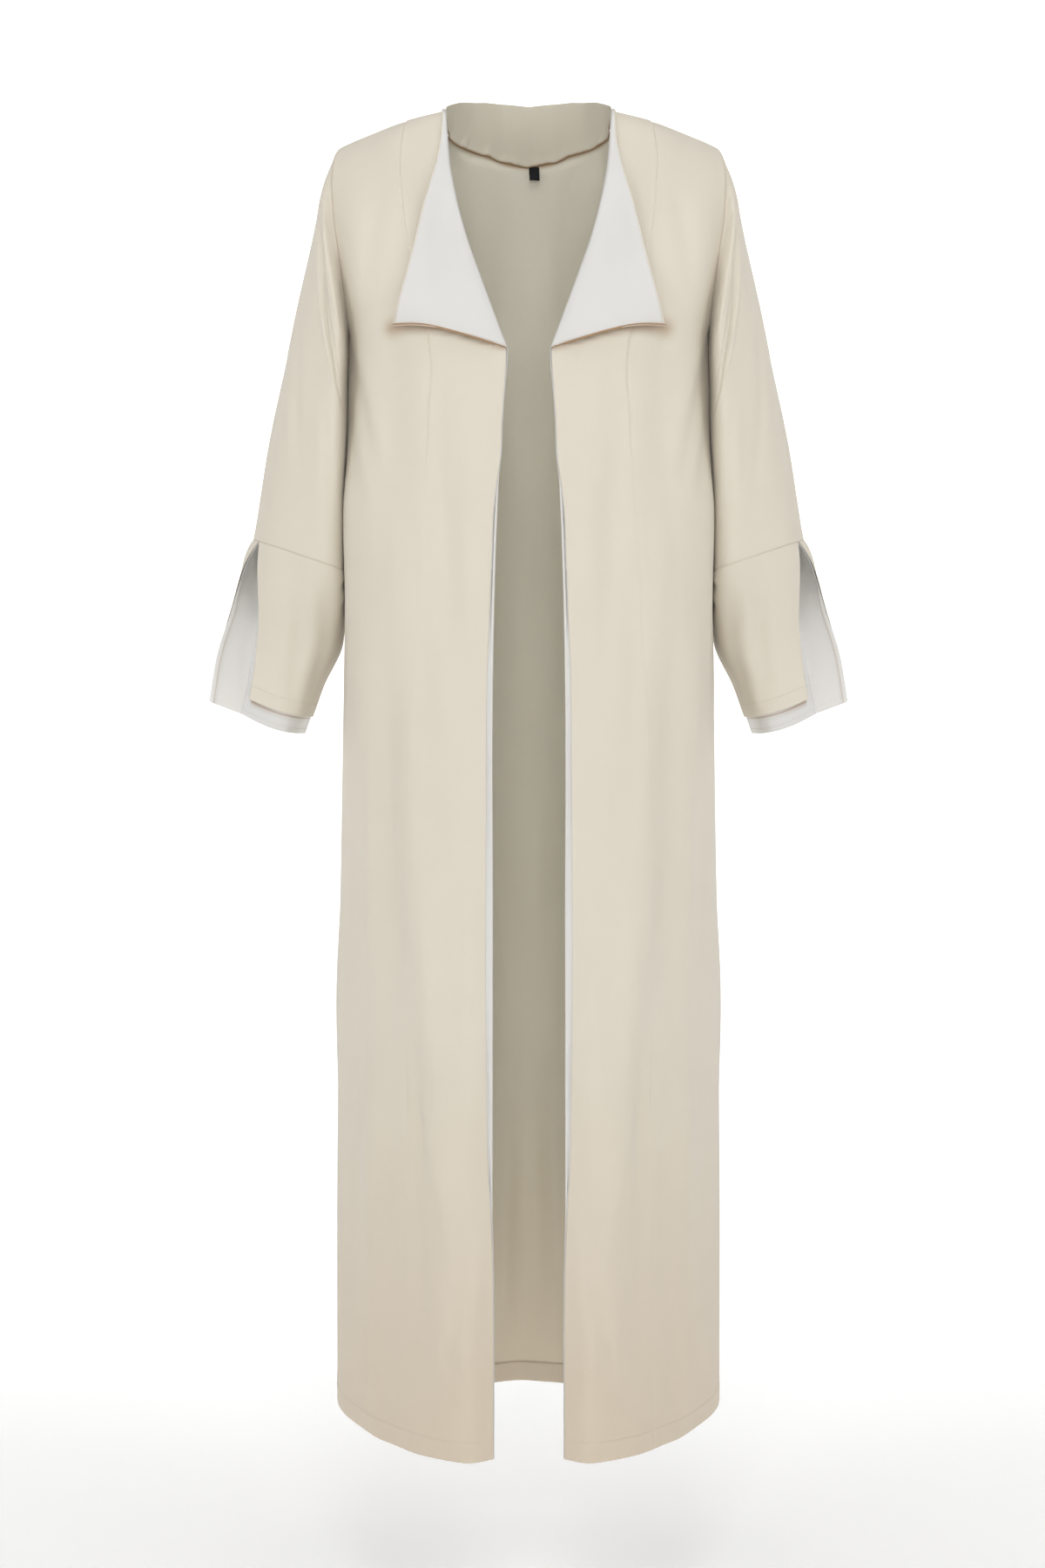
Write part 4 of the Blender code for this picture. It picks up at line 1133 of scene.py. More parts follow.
def woven(name):
    """The woven material of that name, built the first time it is asked for."""
    if name in bpy.data.materials:
        return bpy.data.materials[name]
    look = LOOKS[name]
    cloth = look.cloth
    colours = bpy.context.scene.abaya_finish
    colour = opaque(getattr(colours, look.colour), look.share)[:3]
    # The lower edging takes the seam shade's tint: a painted shadow line.
    if name == "shaded_edging":
        colour = [tone * shade for tone, shade in zip(colour, colours.seam_shade)]
    if isinstance(look.deep, str):
        deep = opaque(getattr(colours, look.deep))
    else:
        deep = opaque(colour, look.deep)
    # Painted shade towards the hem, for the crepe and its wrong side.
    low = getattr(colours, HEM_SHADE_TINTS[name]) if name in HEM_SHADE_TINTS else (1.0, 1.0, 1.0)
    shade = RIBBON_SHADE if name == "black_ribbon" else colours.seam_shade
    material = bpy.data.materials.new(name)
    material.use_nodes = True
    tree = material.node_tree
    layout = tree.nodes.new("ShaderNodeUVMap")
    layout.uv_map = "cloth"
    seam = tree.nodes.new("ShaderNodeAttribute")
    seam.attribute_name = "seam"
    tone = placed_group(tree, "Cloth Tone", {
        "Colour": opaque(colour), "Deep Colour": deep, "Broad": cloth.broad, "Fine": cloth.fine,
        "Low Colour": opaque(low), "Vector": layout.outputs["UV"]})
    weave = placed_group(tree, "Cloth Weave", {
        "Across": cloth.threads_across, "Along": cloth.threads_along, "Crinkle": cloth.crinkle,
        "Crinkle Scale": cloth.crinkle_scale, "Vector": layout.outputs["UV"]})
    shaded = placed_group(tree, "Seam Shade", {
        "Shade": opaque(shade), "Amount": look.seam_amount, "Colour": tone["Colour"],
        "Seam": seam.outputs["Fac"]})
    bump = fed_node(tree, "ShaderNodeBump", {
        "Strength": BUMP_STRENGTH, "Distance": cloth.bump, "Height": weave["Height"]})
    roughness = ranged(tree, weave["Thread"], cloth.roughness + cloth.roughness_span / 2,
                       cloth.roughness - cloth.roughness_span / 2)
    feed_all(tree, tree.nodes["Principled BSDF"], {
        "Base Color": shaded["Colour"], "Roughness": roughness, "Normal": bump.outputs["Normal"],
        "Metallic": 0.0, "Sheen Weight": cloth.sheen, "Sheen Roughness": SHEEN_ROUGHNESS,
        "Specular IOR Level": cloth.specular})
    return material


# ---- Settings ----

def length_setting(name, description, default, low=0.0):
    return FloatProperty(name=name, description=description, default=default, min=low,
                         max=5 * default, precision=5, subtype="DISTANCE", unit="LENGTH")


def factor_setting(name, description, default, high=1.0):
    return FloatProperty(name=name, description=description, default=default, min=0.0, max=high,
                         subtype="FACTOR")


def power_setting(name, description, default):
    return FloatProperty(name=name, description=description, default=default, min=0.0, max=1000.0,
                         unit="POWER")


def colour_setting(name, description, default):
    return FloatVectorProperty(name=name, description=description, default=default, size=3,
                               min=0.0, max=1.0, subtype="COLOR")


class AbayaBodySettings(bpy.types.PropertyGroup):
    """Sizes of the back and the fronts."""

    wall: length_setting("Crepe thickness", "Thickness of the crepe", 0.0007, 0.0003)
    spacing: length_setting("Mesh spacing", "Distance between the points of a panel", 0.0050, 0.002)
    hem: length_setting("Hem depth", "Depth of the hem turned up inside", 0.0215, 0.005)
    hem_gap: length_setting("Hem gap", "From a panel's middle to the middle of its turned hem",
                            0.0009, 0.0005)
    seam_width: length_setting("Seam width", "Width over which a seamed edge turns in", 0.0016, 0.0005)
    seam_depth: length_setting("Seam depth", "How far a seamed edge turns in", 0.0010)
    wave: length_setting("Wave height", "Height of the long waves in the hanging cloth", 0.0042)
    pucker: length_setting("Pucker height", "Height of the puckers along a row of stitches", 0.00022)
    crease: factor_setting("Crease strength", "Factor on the depth of all creases", 3.6, 6.0)
    ridge: length_setting("Facing ridge", "Height that the facing's hidden edge lifts the front",
                          0.0010)


class AbayaLapelSettings(bpy.types.PropertyGroup):
    """Sizes of the satin facings and the lapels' edging."""

    wall: length_setting("Satin thickness", "Thickness of the satin", 0.0006, 0.0003)
    edging_width: length_setting("Edging width", "Width of the lapel's rounded edge", 0.0019, 0.0005)
    edging_height: length_setting("Edging height", "Thickness of the lapel's rounded edge",
                                  0.0032, 0.001)
    edge_closing: length_setting("Edge closing", "How far the satin closes up to the crepe's edge",
                                 0.0009)
    # Strength of the shadow painted below the lapel's lower edge.
    foot_shade: factor_setting("Foot shade", "Tint of the cloth below the lapel", 0.75)
    dent: factor_setting("Dent strength", "Factor on the dents in the lapel's satin", 1.9, 3.0)


class AbayaSleeveSettings(bpy.types.PropertyGroup):
    """Sizes of the sleeves and cuffs."""

    spacing: length_setting("Mesh spacing", "Distance between the points along a sleeve",
                            0.0045, 0.002)
    crease: factor_setting("Crease strength", "Factor on the depth of all creases", 1.8, 6.0)
    cuff_wall: length_setting("Cuff thickness", "Thickness of the cuff's crepe", 0.0006, 0.0003)
    cuff_hem: length_setting("Cuff hem", "Depth of the cuff's turned hem", 0.0150, 0.005)
    cuff_hem_gap: length_setting("Cuff hem gap", "Middle of the cuff to middle of its turned hem",
                                 0.0007, 0.0005)
    cuff_lift: length_setting("Cuff lift", "How far the cuff's front corner stands off its lining",
                              0.0026)
    # Where the painted shadow of the crepe's edge lies on the lining.
    crepe_shade: length_setting("Crepe shade", "From the crepe's edge down to its shade on the lining",
                                0.0012)
    piping: length_setting("Edge seam", "Distance of the edge seam from the lining's free edge",
                           0.0055, 0.001)


class AbayaCollarSettings(bpy.types.PropertyGroup):
    """Sizes of the back collar and the label."""

    overlap: length_setting("Overlap", "How far the collar's lower edge stands over the back", 0.0017)
    drop: length_setting("Drop", "How far the collar's lower edge hangs below its seam", 0.0016)
    ripple: length_setting("Ripple", "Height of the ripples along the neck seam", 0.0007)
    label_width: length_setting("Label width", "Width of the folded ribbon", 0.0110, 0.005)
    label_length: length_setting("Label length", "Length of the ribbon below the seam", 0.0140, 0.005)


class AbayaStitchSettings(bpy.types.PropertyGroup):
    """Sizes of the visible stitches."""

    length: length_setting("Stitch length", "Length of one stitch", 0.0026, 0.001)
    gap: length_setting("Stitch gap", "Distance between two stitches", 0.0012, 0.0003)
    radius: length_setting("Thread radius", "Radius of the sewing thread", 0.00020, 0.0001)


class AbayaFinishSettings(bpy.types.PropertyGroup):
    """Colours of the cloths and the thread."""

    crepe: colour_setting("Crepe", "Colour of the crepe", (0.735, 0.680, 0.580))
    crepe_deep: colour_setting("Deep crepe", "Deeper colour that the crepe varies towards",
                               (0.650, 0.595, 0.490))
    # Painted shade: the crepe darker and warmer towards the hem.
    low: colour_setting("Hem tint", "Tint that the crepe takes on towards the hem",
                        (0.915, 0.850, 0.790))
    # Painted shade on the crepe's wrong side towards the hem.
    inside_hem_shade: colour_setting("Inside hem tint", "Tint that the wrong side takes on near the hem",
                               (0.800, 0.735, 0.670))
    # Lighter than the crepe itself: painted light inside the hollow cloak.
    inside: colour_setting("Inside", "Colour of the crepe's wrong side", (0.898, 0.855, 0.727))
    # Darker than the crepe's wrong side elsewhere: painted shade on the collar's inner side.
    collar: colour_setting("Collar inside", "Colour of the collar's inner side",
                           (0.590, 0.545, 0.445))
    # Used at a share below one on the lining's outer side and above one on its inner side, where the
    # extra is painted light.
    lining: colour_setting("Cuff lining", "Colour of the satin in the cuffs", (0.880, 0.865, 0.835))
    satin: colour_setting("Satin", "Colour of the satin", (0.705, 0.690, 0.662))
    satin_deep: colour_setting("Deep satin", "Deeper colour that the satin varies towards",
                               (0.654, 0.644, 0.621))
    # Colour of all painted shade: in seam hollows, below the lapel, in the cuffs and below the collar.
    seam_shade: colour_setting("Seam shade", "Tint of the cloth in the hollow of a seam",
                               (0.55, 0.38, 0.25))
    label: colour_setting("Label", "Colour of the ribbon", (0.004, 0.004, 0.005))
    thread: colour_setting("Thread", "Colour of the sewing thread", (0.60, 0.55, 0.46))


class AbayaStageSettings(bpy.types.PropertyGroup):
    """The studio: floor, lights and camera."""

    floor: length_setting("Floor drop", "Depth of the floor below the shoulder line", 1.60, 1.45)
    pale: colour_setting("Backdrop", "Colour of the floor and the backdrop", (0.92, 0.92, 0.92))
    glow: FloatProperty(name="Backdrop glow", description="Light that the backdrop gives off",
                        default=0.75, min=0.0, max=2.0)
    front_glow: factor_setting("Front share", "Share of the glow at the front", 0.28)
    world: FloatProperty(name="Room light", description="Strength of the even light all round",
                         default=0.03, min=0.0, max=5.0)
    key: power_setting("Key light", "Power of the large light above the camera", 17.6)
    front: power_setting("Front light", "Power of the light behind the camera", 20.0)
    side: power_setting("Side lights", "Power of each side light", 15.2)
    top: power_setting("Top light", "Power of the light overhead", 20.5)
    tilt: FloatProperty(name="Camera tilt", description="How far the camera looks down",
                        default=math.radians(2.5), subtype="ANGLE", unit="ROTATION")
    distance: length_setting("Camera distance", "From the camera to the cloak", 3.0, 1.0)
    height: length_setting("Camera drop", "Depth of the camera below the shoulder line", 0.595)
    lens: FloatProperty(name="Lens", description="Focal length for a 36 mm sensor", default=63.6,
                        min=10.0, max=300.0)


# ---- Pieces ----

STITCH_INSET = 0.0015       # from a turned hem's upper edge down to its stitches
STITCH_SINK = 0.00050
STITCH_REACH = 0.0010
HEM_STEP = 1.2              # the hem's second layer lifts the cloth by this many pucker heights
HEM_STEP_WIDTH = 0.002
PUCKER_REACH = 0.012
FINER = 0.8                 # spacing of a small panel's points, as a part of a large panel's
SEAM_CALM = 0.030           # width beside a seam over which creases and waves die out
SEAM_CALM_LEAD = 0.004
BACK_WAVE_START = 0.37      # shifts the back's long waves against those of the fronts
NECK_SHADE = 0.0034         # width of the painted shade on the back below the collar
NECK_HALF_WIDTH = 0.088


def hem_relief(from_hem, along, body):
    """Relief of a turned hem: its second layer and the sunk, puckered line of its stitches."""
    from_line = from_hem - (body.hem - STITCH_INSET)
    layer = body.pucker * HEM_STEP * calm(body.hem - from_hem, HEM_STEP_WIDTH)
    sunk = STITCH_SINK * bell(from_line, STITCH_REACH)
    return layer - sunk + puckered(along, from_line, PUCKER_REACH, body.pucker)


def upper_rows(rows):
    """The rows from the shoulder seam down to the break, which the lapel shares."""
    return rows[rows <= len(UPPER_PARTS) - 1 + WELD]


def front_places(panel, body):
    """Rows and columns of the front, closer together at the hem's stitches and the facing's ridge."""
    rows = places(cell_lengths(panel, 0), body.spacing, fine_at=(STITCH_INSET - body.hem,))
    cells = cell_lengths(panel, 1)
    ridge = cells[:FACING_COLUMNS].sum() + cells[FACING_COLUMNS] * FACING_EDGE
    return rows, places(cells, body.spacing, fine_at=(ridge,))


ROLL_STILL = 0.002          # width beside the roll line that has no creases at all
ROLL_CALM = 0.025
BREAK_FADE = 0.05
EDGE_RELIEF = 0.8           # part of the creases that the free edge below the break keeps


def front_relief(points, near_edge, body):
    """Relief that the front and everything sewn to it share, still at the roll line's columns."""
    across, drop = points[..., 0], -points[..., 2]
    relief = creased(FRONT_CREASES, across, drop, body.crease)
    relief = relief + waved(across, drop, body.wave)
    quiet = calm(near_edge, ROLL_CALM, -ROLL_STILL)
    below = calm(drop - BREAK_DROP, BREAK_FADE)
    return relief * np.maximum(quiet, below * EDGE_RELIEF)


FOOT_POINTS = 90
FOOT_REACH = 0.0030         # width of the painted shadow below the lapel, near the break
FOOT_REACH_END = 0.0050     # what the lapel's raised point adds to it
FOOT_START = 0.05


def foot_shadow_mask(points, foot):
    """A mask of painted shadow on the strip of cloth just under the lapel's lower edge, deeper at its
    outer end.
    """
    mask = np.zeros(points.shape[:2])
    for place, share in zip(evenly(foot, FOOT_POINTS), np.linspace(0.0, 1.0, FOOT_POINTS)):
        away = np.hypot(points[..., 0] - place[0], points[..., 2] - place[2])
        reach = FOOT_REACH + FOOT_REACH_END * share**6
        mask = np.maximum(mask, bell(away, reach) * calm(share, FOOT_START))
    return mask


RIDGE_WANDER = ((0.040, 41.0, 0.0), (0.025, 97.0, 1.1))     # how far, turns down, start
RIDGE_STEP = 0.16
RIDGE_GROOVE = 0.10
RIDGE_GROOVE_DEPTH = 0.8
RIDGE_FADE_DROP = 0.29
RIDGE_FADE = 0.16
RIDGE_FADED = 0.85


def facing_ridge(columns, drop, height):
    """Relief of the facing's hidden edge, which presses a wandering line through the front."""
    beyond = (FACING_COLUMNS + FACING_EDGE) - columns[None, :]
    beyond = beyond + sum(far * np.sin(drop * turns + start) for far, turns, start in RIDGE_WANDER)
    height = height * (1 - RIDGE_FADED * calm(drop - RIDGE_FADE_DROP, RIDGE_FADE))
    groove = RIDGE_GROOVE_DEPTH * bell(beyond + RIDGE_GROOVE, RIDGE_GROOVE)
    return height * (smooth_step(beyond / RIDGE_STEP + 0.5) - groove)


FREE_EDGE = (0.0010, 0.0002)            # width and depth over which the free edge turns in
PLAIN_FADE = 0.006
EDGING_POINTS = 220
EDGING_START = 4                        # the lapel's lower edge is bare up to this column


class ABAYA_OT_fronts(bpy.types.Operator):
    """Build both fronts, each with its folded-back lapel, hem, edging and stitches"""

    bl_idname = "abaya.fronts"
    bl_label = "Fronts"

    def execute(self, context):
        body = context.scene.abaya_body
        lapel = context.scene.abaya_lapel
        coarse = front_panel()
        rows, columns = front_places(coarse, body)
        panel = refined(coarse, rows, columns)
        out = normals(panel)
        from_edge, from_side = edge_distances(panel, 1)
        from_top, from_hem = edge_distances(panel, 0)
        relief = front_relief(panel, from_edge, body)
        drop = -panel[..., 2]
        nearest = np.minimum(from_side, from_top)
        relief *= calm(nearest, SEAM_CALM, SEAM_CALM_LEAD)
        relief += rolled(from_edge, *FREE_EDGE) * calm(drop - BREAK_DROP, PLAIN_FADE)
        relief += rolled(nearest, body.seam_width, body.seam_depth)
        relief += facing_ridge(columns, drop, body.ridge)
        relief += hem_relief(from_hem, from_edge, body)
        points = panel + out * relief[..., None]
        hemmed = turned_hem(points, out, body.hem, body.hem_gap)
        fold = crepe_lapel(coarse)
        upper = upper_rows(rows)
        fold_columns = places(cell_lengths(fold, 1), body.spacing, fine_start=False)
        turned = refined(fold, upper, fold_columns)
        turned[:, 0] = points[:len(upper), 0]
        # Painted shade in the seam hollows, and painted shadow just below the lapel's lower edge.
        seam = 0.5 * seam_shade_mask(from_side, from_top)
        seam = np.maximum(seam, lapel.foot_shade * foot_shadow_mask(points, turned[-1]))
        seam = extended(seam, len(hemmed))
        patches = [Patch(hemmed, seam), Patch(turned, 1.0)]
        threads = [thread_row(points, out, from_hem[:, 0], body.hem - STITCH_INSET, body.wall)]
        border, border_out = (np.concatenate([grid[:, -1], grid[-1, -2:EDGING_START:-1]])
                              for grid in (turned, normals(turned)))
        border = border + border_out * LAYER / 2
        total = lengths(border)[-1]
        path = evenly(border, EDGING_POINTS)
        path_out = sample_normals(border, border_out, np.linspace(0.0, total, EDGING_POINTS))
        tip = round((EDGING_POINTS - 1) * lengths(turned[:, -1])[-1] / total)
        # The lapel's lower edge gets the darker edging, a painted shadow line.
        edgings = (("lapel_edging_", slice(tip + 1), woven("cream_crepe")),
                   ("lapel_foot_edging_", slice(tip, None), woven("shaded_edging")))
        for side, sided in both_sides(patches):
            item = cloth_piece("front_cloth_" + side, "front_" + side, sided, body.wall,
                               woven("cream_crepe"), woven("crepe_inside"), (0.0, -1.0, 0.0))
            turn = mirrored if side == "right" else np.array
            joined = [place_piece(swept_object(name + side, turn(path[part]), turn(path_out[part]),
                                               lapel.edging_width / 2, lapel.edging_height / 2,
                                               material))
                      for name, part, material in edgings]
            joined.append(sewn("front_stitches_", threads, side))
        return {"FINISHED"}


CLOSING_WIDTH = 0.010       # along the facing's edge, where the satin closes up to the crepe
CLOSING_FADE = 0.008
DENT_CALM = 0.012           # width along the lapel's free edges that has no dents
DENT_ROLL = 0.004           # and the same beside its roll line
DENT_FADE = 0.01
DENT_LIMIT = 0.0011         # deepest that the satin sinks towards the crepe below it
SATIN_WAVE = 0.0007
SATIN_WAVES = (1.6, 1.3)    # how much closer the satin's waves lie, across and down


class ABAYA_OT_facings(bpy.types.Operator):
    """Build both satin facings, inside the fronts and over the lapels"""

    bl_idname = "abaya.facings"
    bl_label = "Satin facings"

    def execute(self, context):
        body = context.scene.abaya_body
        lapel = context.scene.abaya_lapel
        coarse = front_panel()
        strip = facing_strip(coarse)
        rows = front_places(coarse, body)[0]
        columns = places(cell_lengths(strip, 1), body.spacing)
        inside = refined(strip, rows, columns)
        out = normals(inside)
        from_edge = edge_distances(inside, 1)[0]
        relief = front_relief(inside, from_edge, body)
        relief += lapel.edge_closing * (1 - calm(from_edge, CLOSING_FADE, -CLOSING_WIDTH))
        inside = inside + out * relief[..., None]
        fold = satin_lapel(coarse)
        upper = upper_rows(rows)
        fold_columns = places(cell_lengths(fold, 1), body.spacing * FINER, fine_start=False)
        face = refined(fold, upper, fold_columns)
        face_out = normals(face)
        roll_distance, edge_distance = edge_distances(face, 1)
        foot_distance = edge_distances(face, 0)[1]
        dents = creased(LAPEL_DENTS, roll_distance, -face[..., 2], lapel.dent)
        settled = calm(np.minimum(edge_distance, foot_distance), DENT_CALM)
        dents = dents * settled * calm(roll_distance, DENT_FADE, -DENT_ROLL)
        across_turns, drop_turns = SATIN_WAVES
        dents = dents + settled * waved(face[..., 0] * across_turns, -face[..., 2] * drop_turns,
                                        SATIN_WAVE)
        face = face + face_out * np.maximum(dents, -DENT_LIMIT)[..., None]
        face[:, 0] = inside[:len(upper), 0]
        # Painted shade along the facing's free edge and the lapel's edges.
        patches = [Patch(inside, seam_shade_mask(from_edge) * 0.4),
                   Patch(face, seam_shade_mask(edge_distance, foot_distance) * 0.5)]
        for side, sided in both_sides(patches):
            item = cloth_piece("satin_facing_" + side, "facing_" + side, sided, lapel.wall,
                               woven("white_satin"))
        return {"FINISHED"}


class ABAYA_OT_back(bpy.types.Operator):
    """Build the back with its hem and stitches"""

    bl_idname = "abaya.back"
    bl_label = "Back"

    def execute(self, context):
        body = context.scene.abaya_body
        coarse = whole(back_panel())
        rows = places(cell_lengths(coarse, 0), body.spacing, fine_at=(STITCH_INSET - body.hem,))
        columns = places(cell_lengths(coarse, 1), body.spacing)
        panel = refined(coarse, rows, columns)
        out = -normals(panel)
        from_right, from_left = edge_distances(panel, 1)
        from_top, from_hem = edge_distances(panel, 0)
        across, drop = panel[..., 0], -panel[..., 2]
        relief = creased(BACK_CREASES, across, drop, body.crease)
        relief += echoed(BACK_CREASES, BACK_ECHO, across, drop, body.crease)
        relief += waved(across, drop + BACK_WAVE_START, body.wave)
        nearest = np.minimum(np.minimum(from_left, from_right), from_top)
        relief *= calm(nearest, SEAM_CALM, SEAM_CALM_LEAD)
        relief += rolled(nearest, body.seam_width, body.seam_depth)
        relief += hem_relief(from_hem, from_right, body)
        points = panel + out * relief[..., None]
        hemmed = turned_hem(points, out, body.hem, body.hem_gap)
        # Painted shade in the seam hollows and on the back just below the collar.
        seam = seam_shade_mask(from_left, from_right, from_top)
        neck = bell(from_top, NECK_SHADE) * (np.abs(across) < NECK_HALF_WIDTH)
        seam = extended(np.maximum(seam, neck), len(hemmed))
        item = cloth_piece("back_cloth", "back", [Patch(hemmed, seam)], body.wall,
                           woven("cream_crepe"), woven("crepe_inside"), (0.0, 1.0, 0.0))
        row = thread_row(points, out, from_hem[:, 0], body.hem - STITCH_INSET, body.wall)
        sewn("back_stitches", [row])
        return {"FINISHED"}


COLLAR_COLUMNS = 81         # of half the collar
COLLAR_SPACING = 0.0028
COLLAR_END = 0.008          # length over which the collar's ends lie flat
COLLAR_FOOT = 0.0060        # height over which it stands out above its seam
COLLAR_BOW = 0.0012         # how far its middle bows inwards
COLLAR_RIPPLE_REACH = 0.010
COLLAR_SEAM = (0.0016, 0.0010)          # width and depth over which an edge turns in
COLLAR_TOP = (0.0012, 0.0005)
COLLAR_HANG = 0.0045        # height over which the lower edge sags
HANG_SWAY = 0.35            # the hanging edge sways by this part, once in each length
HANG_LENGTH = 0.043
HANG_START = 0.6
# Width of the painted shade line along the collar's lower edge.
COLLAR_SHADE = 0.0014
Tug = namedtuple("Tug", "across height reach")
NECK_TUGS = (Tug(0.044, 0.0014, 0.0055), Tug(0.021, 0.0011, 0.0045), Tug(0.012, 0.0005, 0.0025))


class ABAYA_OT_collar(bpy.types.Operator):
    """Build the standing back collar on its rippled neck seam"""

    bl_idname = "abaya.collar"
    bl_label = "Back collar"

    def execute(self, context):
        body = context.scene.abaya_body
        collar = context.scene.abaya_collar
        low, top = (evenly(neck_curve(edge), COLLAR_COLUMNS) for edge in ("low", "top"))
        height = np.linalg.norm(low - top, axis=-1).max()
        share = (places([height / 4] * 4, COLLAR_SPACING) / 4)[:, None, None]
        half = top[None] * (1 - share) + low[None] * share
        grid = whole(half)
        inward = normals(grid)
        from_top, from_seam = edge_distances(grid, 0)
        along = edge_distances(grid, 1)[0]
        from_end = np.minimum(*edge_distances(grid, 1))
        low_end = calm(from_end, COLLAR_END)
        near_seam = bell(from_seam, COLLAR_FOOT)
        bulge = collar.overlap * near_seam
        bow = COLLAR_BOW * np.sin(np.pi * np.clip(from_top / height, 0, 1))
        ripple = puckered(along, from_seam, COLLAR_RIPPLE_REACH, collar.ripple / 2)
        edges = rolled(from_seam, *COLLAR_SEAM) + rolled(from_top, *COLLAR_TOP)
        points = grid + inward * ((bulge + ripple + bow) * low_end + edges)[..., None]
        hang = collar.drop * bell(from_seam, COLLAR_HANG) * low_end
        hang = hang * (1 + HANG_SWAY * np.sin(2 * np.pi * along / HANG_LENGTH + HANG_START))
        for tug in NECK_TUGS:
            hang -= tug.height * bell(np.abs(grid[..., 0]) - tug.across, tug.reach) * near_seam
        points[..., 2] -= hang
        # Painted shade along the neck seam, under the collar's lower edge.
        seam = bell(from_seam, COLLAR_SHADE)
        item = cloth_piece("collar_cloth", "collar", [Patch(points, seam)], body.wall,
                           woven("cream_crepe"), woven("collar_inside"), (0.0, 1.0, 0.0))
        return {"FINISHED"}


def tube_relief(grid, relief):
    """A closed tube's points moved out by a relief; its first and last columns stay together."""
    wrapped = np.concatenate([grid[:, -2:-1], grid, grid[:, 1:2]], axis=1)
    out = -normals(wrapped)[:, 1:-1]
    relief = relief.copy()
    relief[:, [0, -1]] = (relief[:, 1:2] + relief[:, -2:-1]) / 2
    points = grid + out * relief[..., None]
    points[:, -1] = points[:, 0]
    return points


SLEEVE_LINE_CALM = 0.024    # width beside the outermost and innermost lines without creases
SLEEVE_END_CALM = 0.02
SLEEVE_WAVE = 0.2           # the sleeves' and cuffs' waves, as a part of the body's
TWIST_TURNS = 17.0          # turns of the waves down a metre of sleeve, in radians
SWAY_TURNS = 23.0
ARM_SHADE = 0.6             # how much of the painted seam shade shows at the armhole and above the cuff
CUFF_SHADE = 0.2


class ABAYA_OT_sleeves(bpy.types.Operator):
    """Build both sleeves, from the armholes to the cuff seams"""

    bl_idname = "abaya.sleeves"
    bl_label = "Sleeves"

    def execute(self, context):
        body = context.scene.abaya_body
        sleeve = context.scene.abaya_sleeve
        steps = places([SLEEVE_LENGTH], sleeve.spacing)
        grid = np.array([np.concatenate([sleeve_half(part, "front"),
                                         sleeve_half(part, "back")[-2::-1]]) for part in steps])
        round_front = edge_distances(grid, 1)[0]
        half = round_front[:, SLEEVE_HALF:SLEEVE_HALF + 1]
        is_front = np.arange(grid.shape[1])[None, :] <= SLEEVE_HALF
        across = np.where(is_front, round_front, 2 * half - round_front)
        drop = steps[:, None] * SLEEVE_LENGTH + np.zeros_like(across)
        relief = np.where(is_front, creased(SLEEVE_CREASES, across, drop, sleeve.crease),
                          echoed(SLEEVE_CREASES, SLEEVE_ECHO, across, drop, sleeve.crease))
        relief *= calm(np.minimum(across, half - across), SLEEVE_LINE_CALM)
        twist = np.sin(2 * np.pi * across / half + drop * TWIST_TURNS)
        sway = np.sin(drop * SWAY_TURNS + 1.0)
        relief += body.wave * SLEEVE_WAVE * twist * sway
        from_top, from_cuff = edge_distances(grid, 0)
        relief *= calm(np.minimum(from_top, from_cuff), SLEEVE_END_CALM)
        relief += rolled(from_top, body.seam_width, body.seam_depth)
        relief += rolled(from_cuff, body.seam_width, body.seam_depth / 2)
        points = tube_relief(grid, relief)
        seam = np.maximum(ARM_SHADE * seam_shade_mask(from_top), CUFF_SHADE * seam_shade_mask(from_cuff))
        for side, sided in both_sides([Patch(points, seam)]):
            item = cloth_piece("sleeve_cloth_" + side, "sleeve_" + side, sided, body.wall,
                               woven("cream_crepe"))
        return {"FINISHED"}


CUFF_LENGTH = 0.17
CUFF_STITCH_INSET = 0.0012
LEAST_HALF = 0.05           # shortest half row that the waves are measured against
CUFF_CREASED = 1.4          # the cuffs' creases against the sleeves'
CUFF_WAVES = (9.0, 20.0)    # in radians: across half a cuff, and down a metre of it
SLIT_CALM = 0.02
CUFF_TOP_CALM = 0.006       # below the sleeve seam, where the creases grow from the part kept
CUFF_TOP_KEPT = 0.15

# How a layer's edges turn in, how deep its line of stitches lies, and how it puckers the cloth.
Sewing = namedtuple("Sewing", "edge_width edge_depth sink pucker_reach pucker_share")
CREPE_SEWING = Sewing(0.0012, 0.0004, 0.0003, 0.008, 0.7)
SATIN_SEWING = Sewing(0.0012, 0.0003, 0.0002, 0.006, 0.6)
Lift = namedtuple("Lift", "share reach")
CUFF_LIFTS = (Lift(1.0, 0.022), Lift(0.25, 0.12))       # from the slit's front edge, round the cuff
CUFF_LIFT_RISE = 0.020      # how far up from the hem the cuff stands off its lining
FOLD_SHADE = 0.30           # painted shade of the cuff's inner fold, its width, its middle and its height
FOLD_SHADE_WIDTH = 0.007
FOLD_SHADE_MIDDLE = 0.045
FOLD_SHADE_HEIGHT = 0.04
GROOVE_WIDTH = 0.0009       # of the piping line
GROOVE_DEPTH = 0.0004
GROOVE_SHADE = (0.30, 0.60, 0.05)       # painted shade in the piping's groove: all along the line, more at its top, and how far down
LINING_TOP_SHADE = 0.5
UNDER_CREPE = 0.9           # painted shadow that the crepe's edge throws on the lining
UNDER_CREPE_WIDTH = 0.0009
UNDER_CREPE_CORNER = 0.03   # the painted shadow is twice as wide at the slit, within about this distance
UNDER_CREPE_START = 0.0085
UNDER_CREPE_FADE = 0.002
FLAP_START = 6              # row at which the stitches beside the slit begin
FLAP_REACH = 0.02           # width along the slit's back edge whose sunk piping line has painted shade


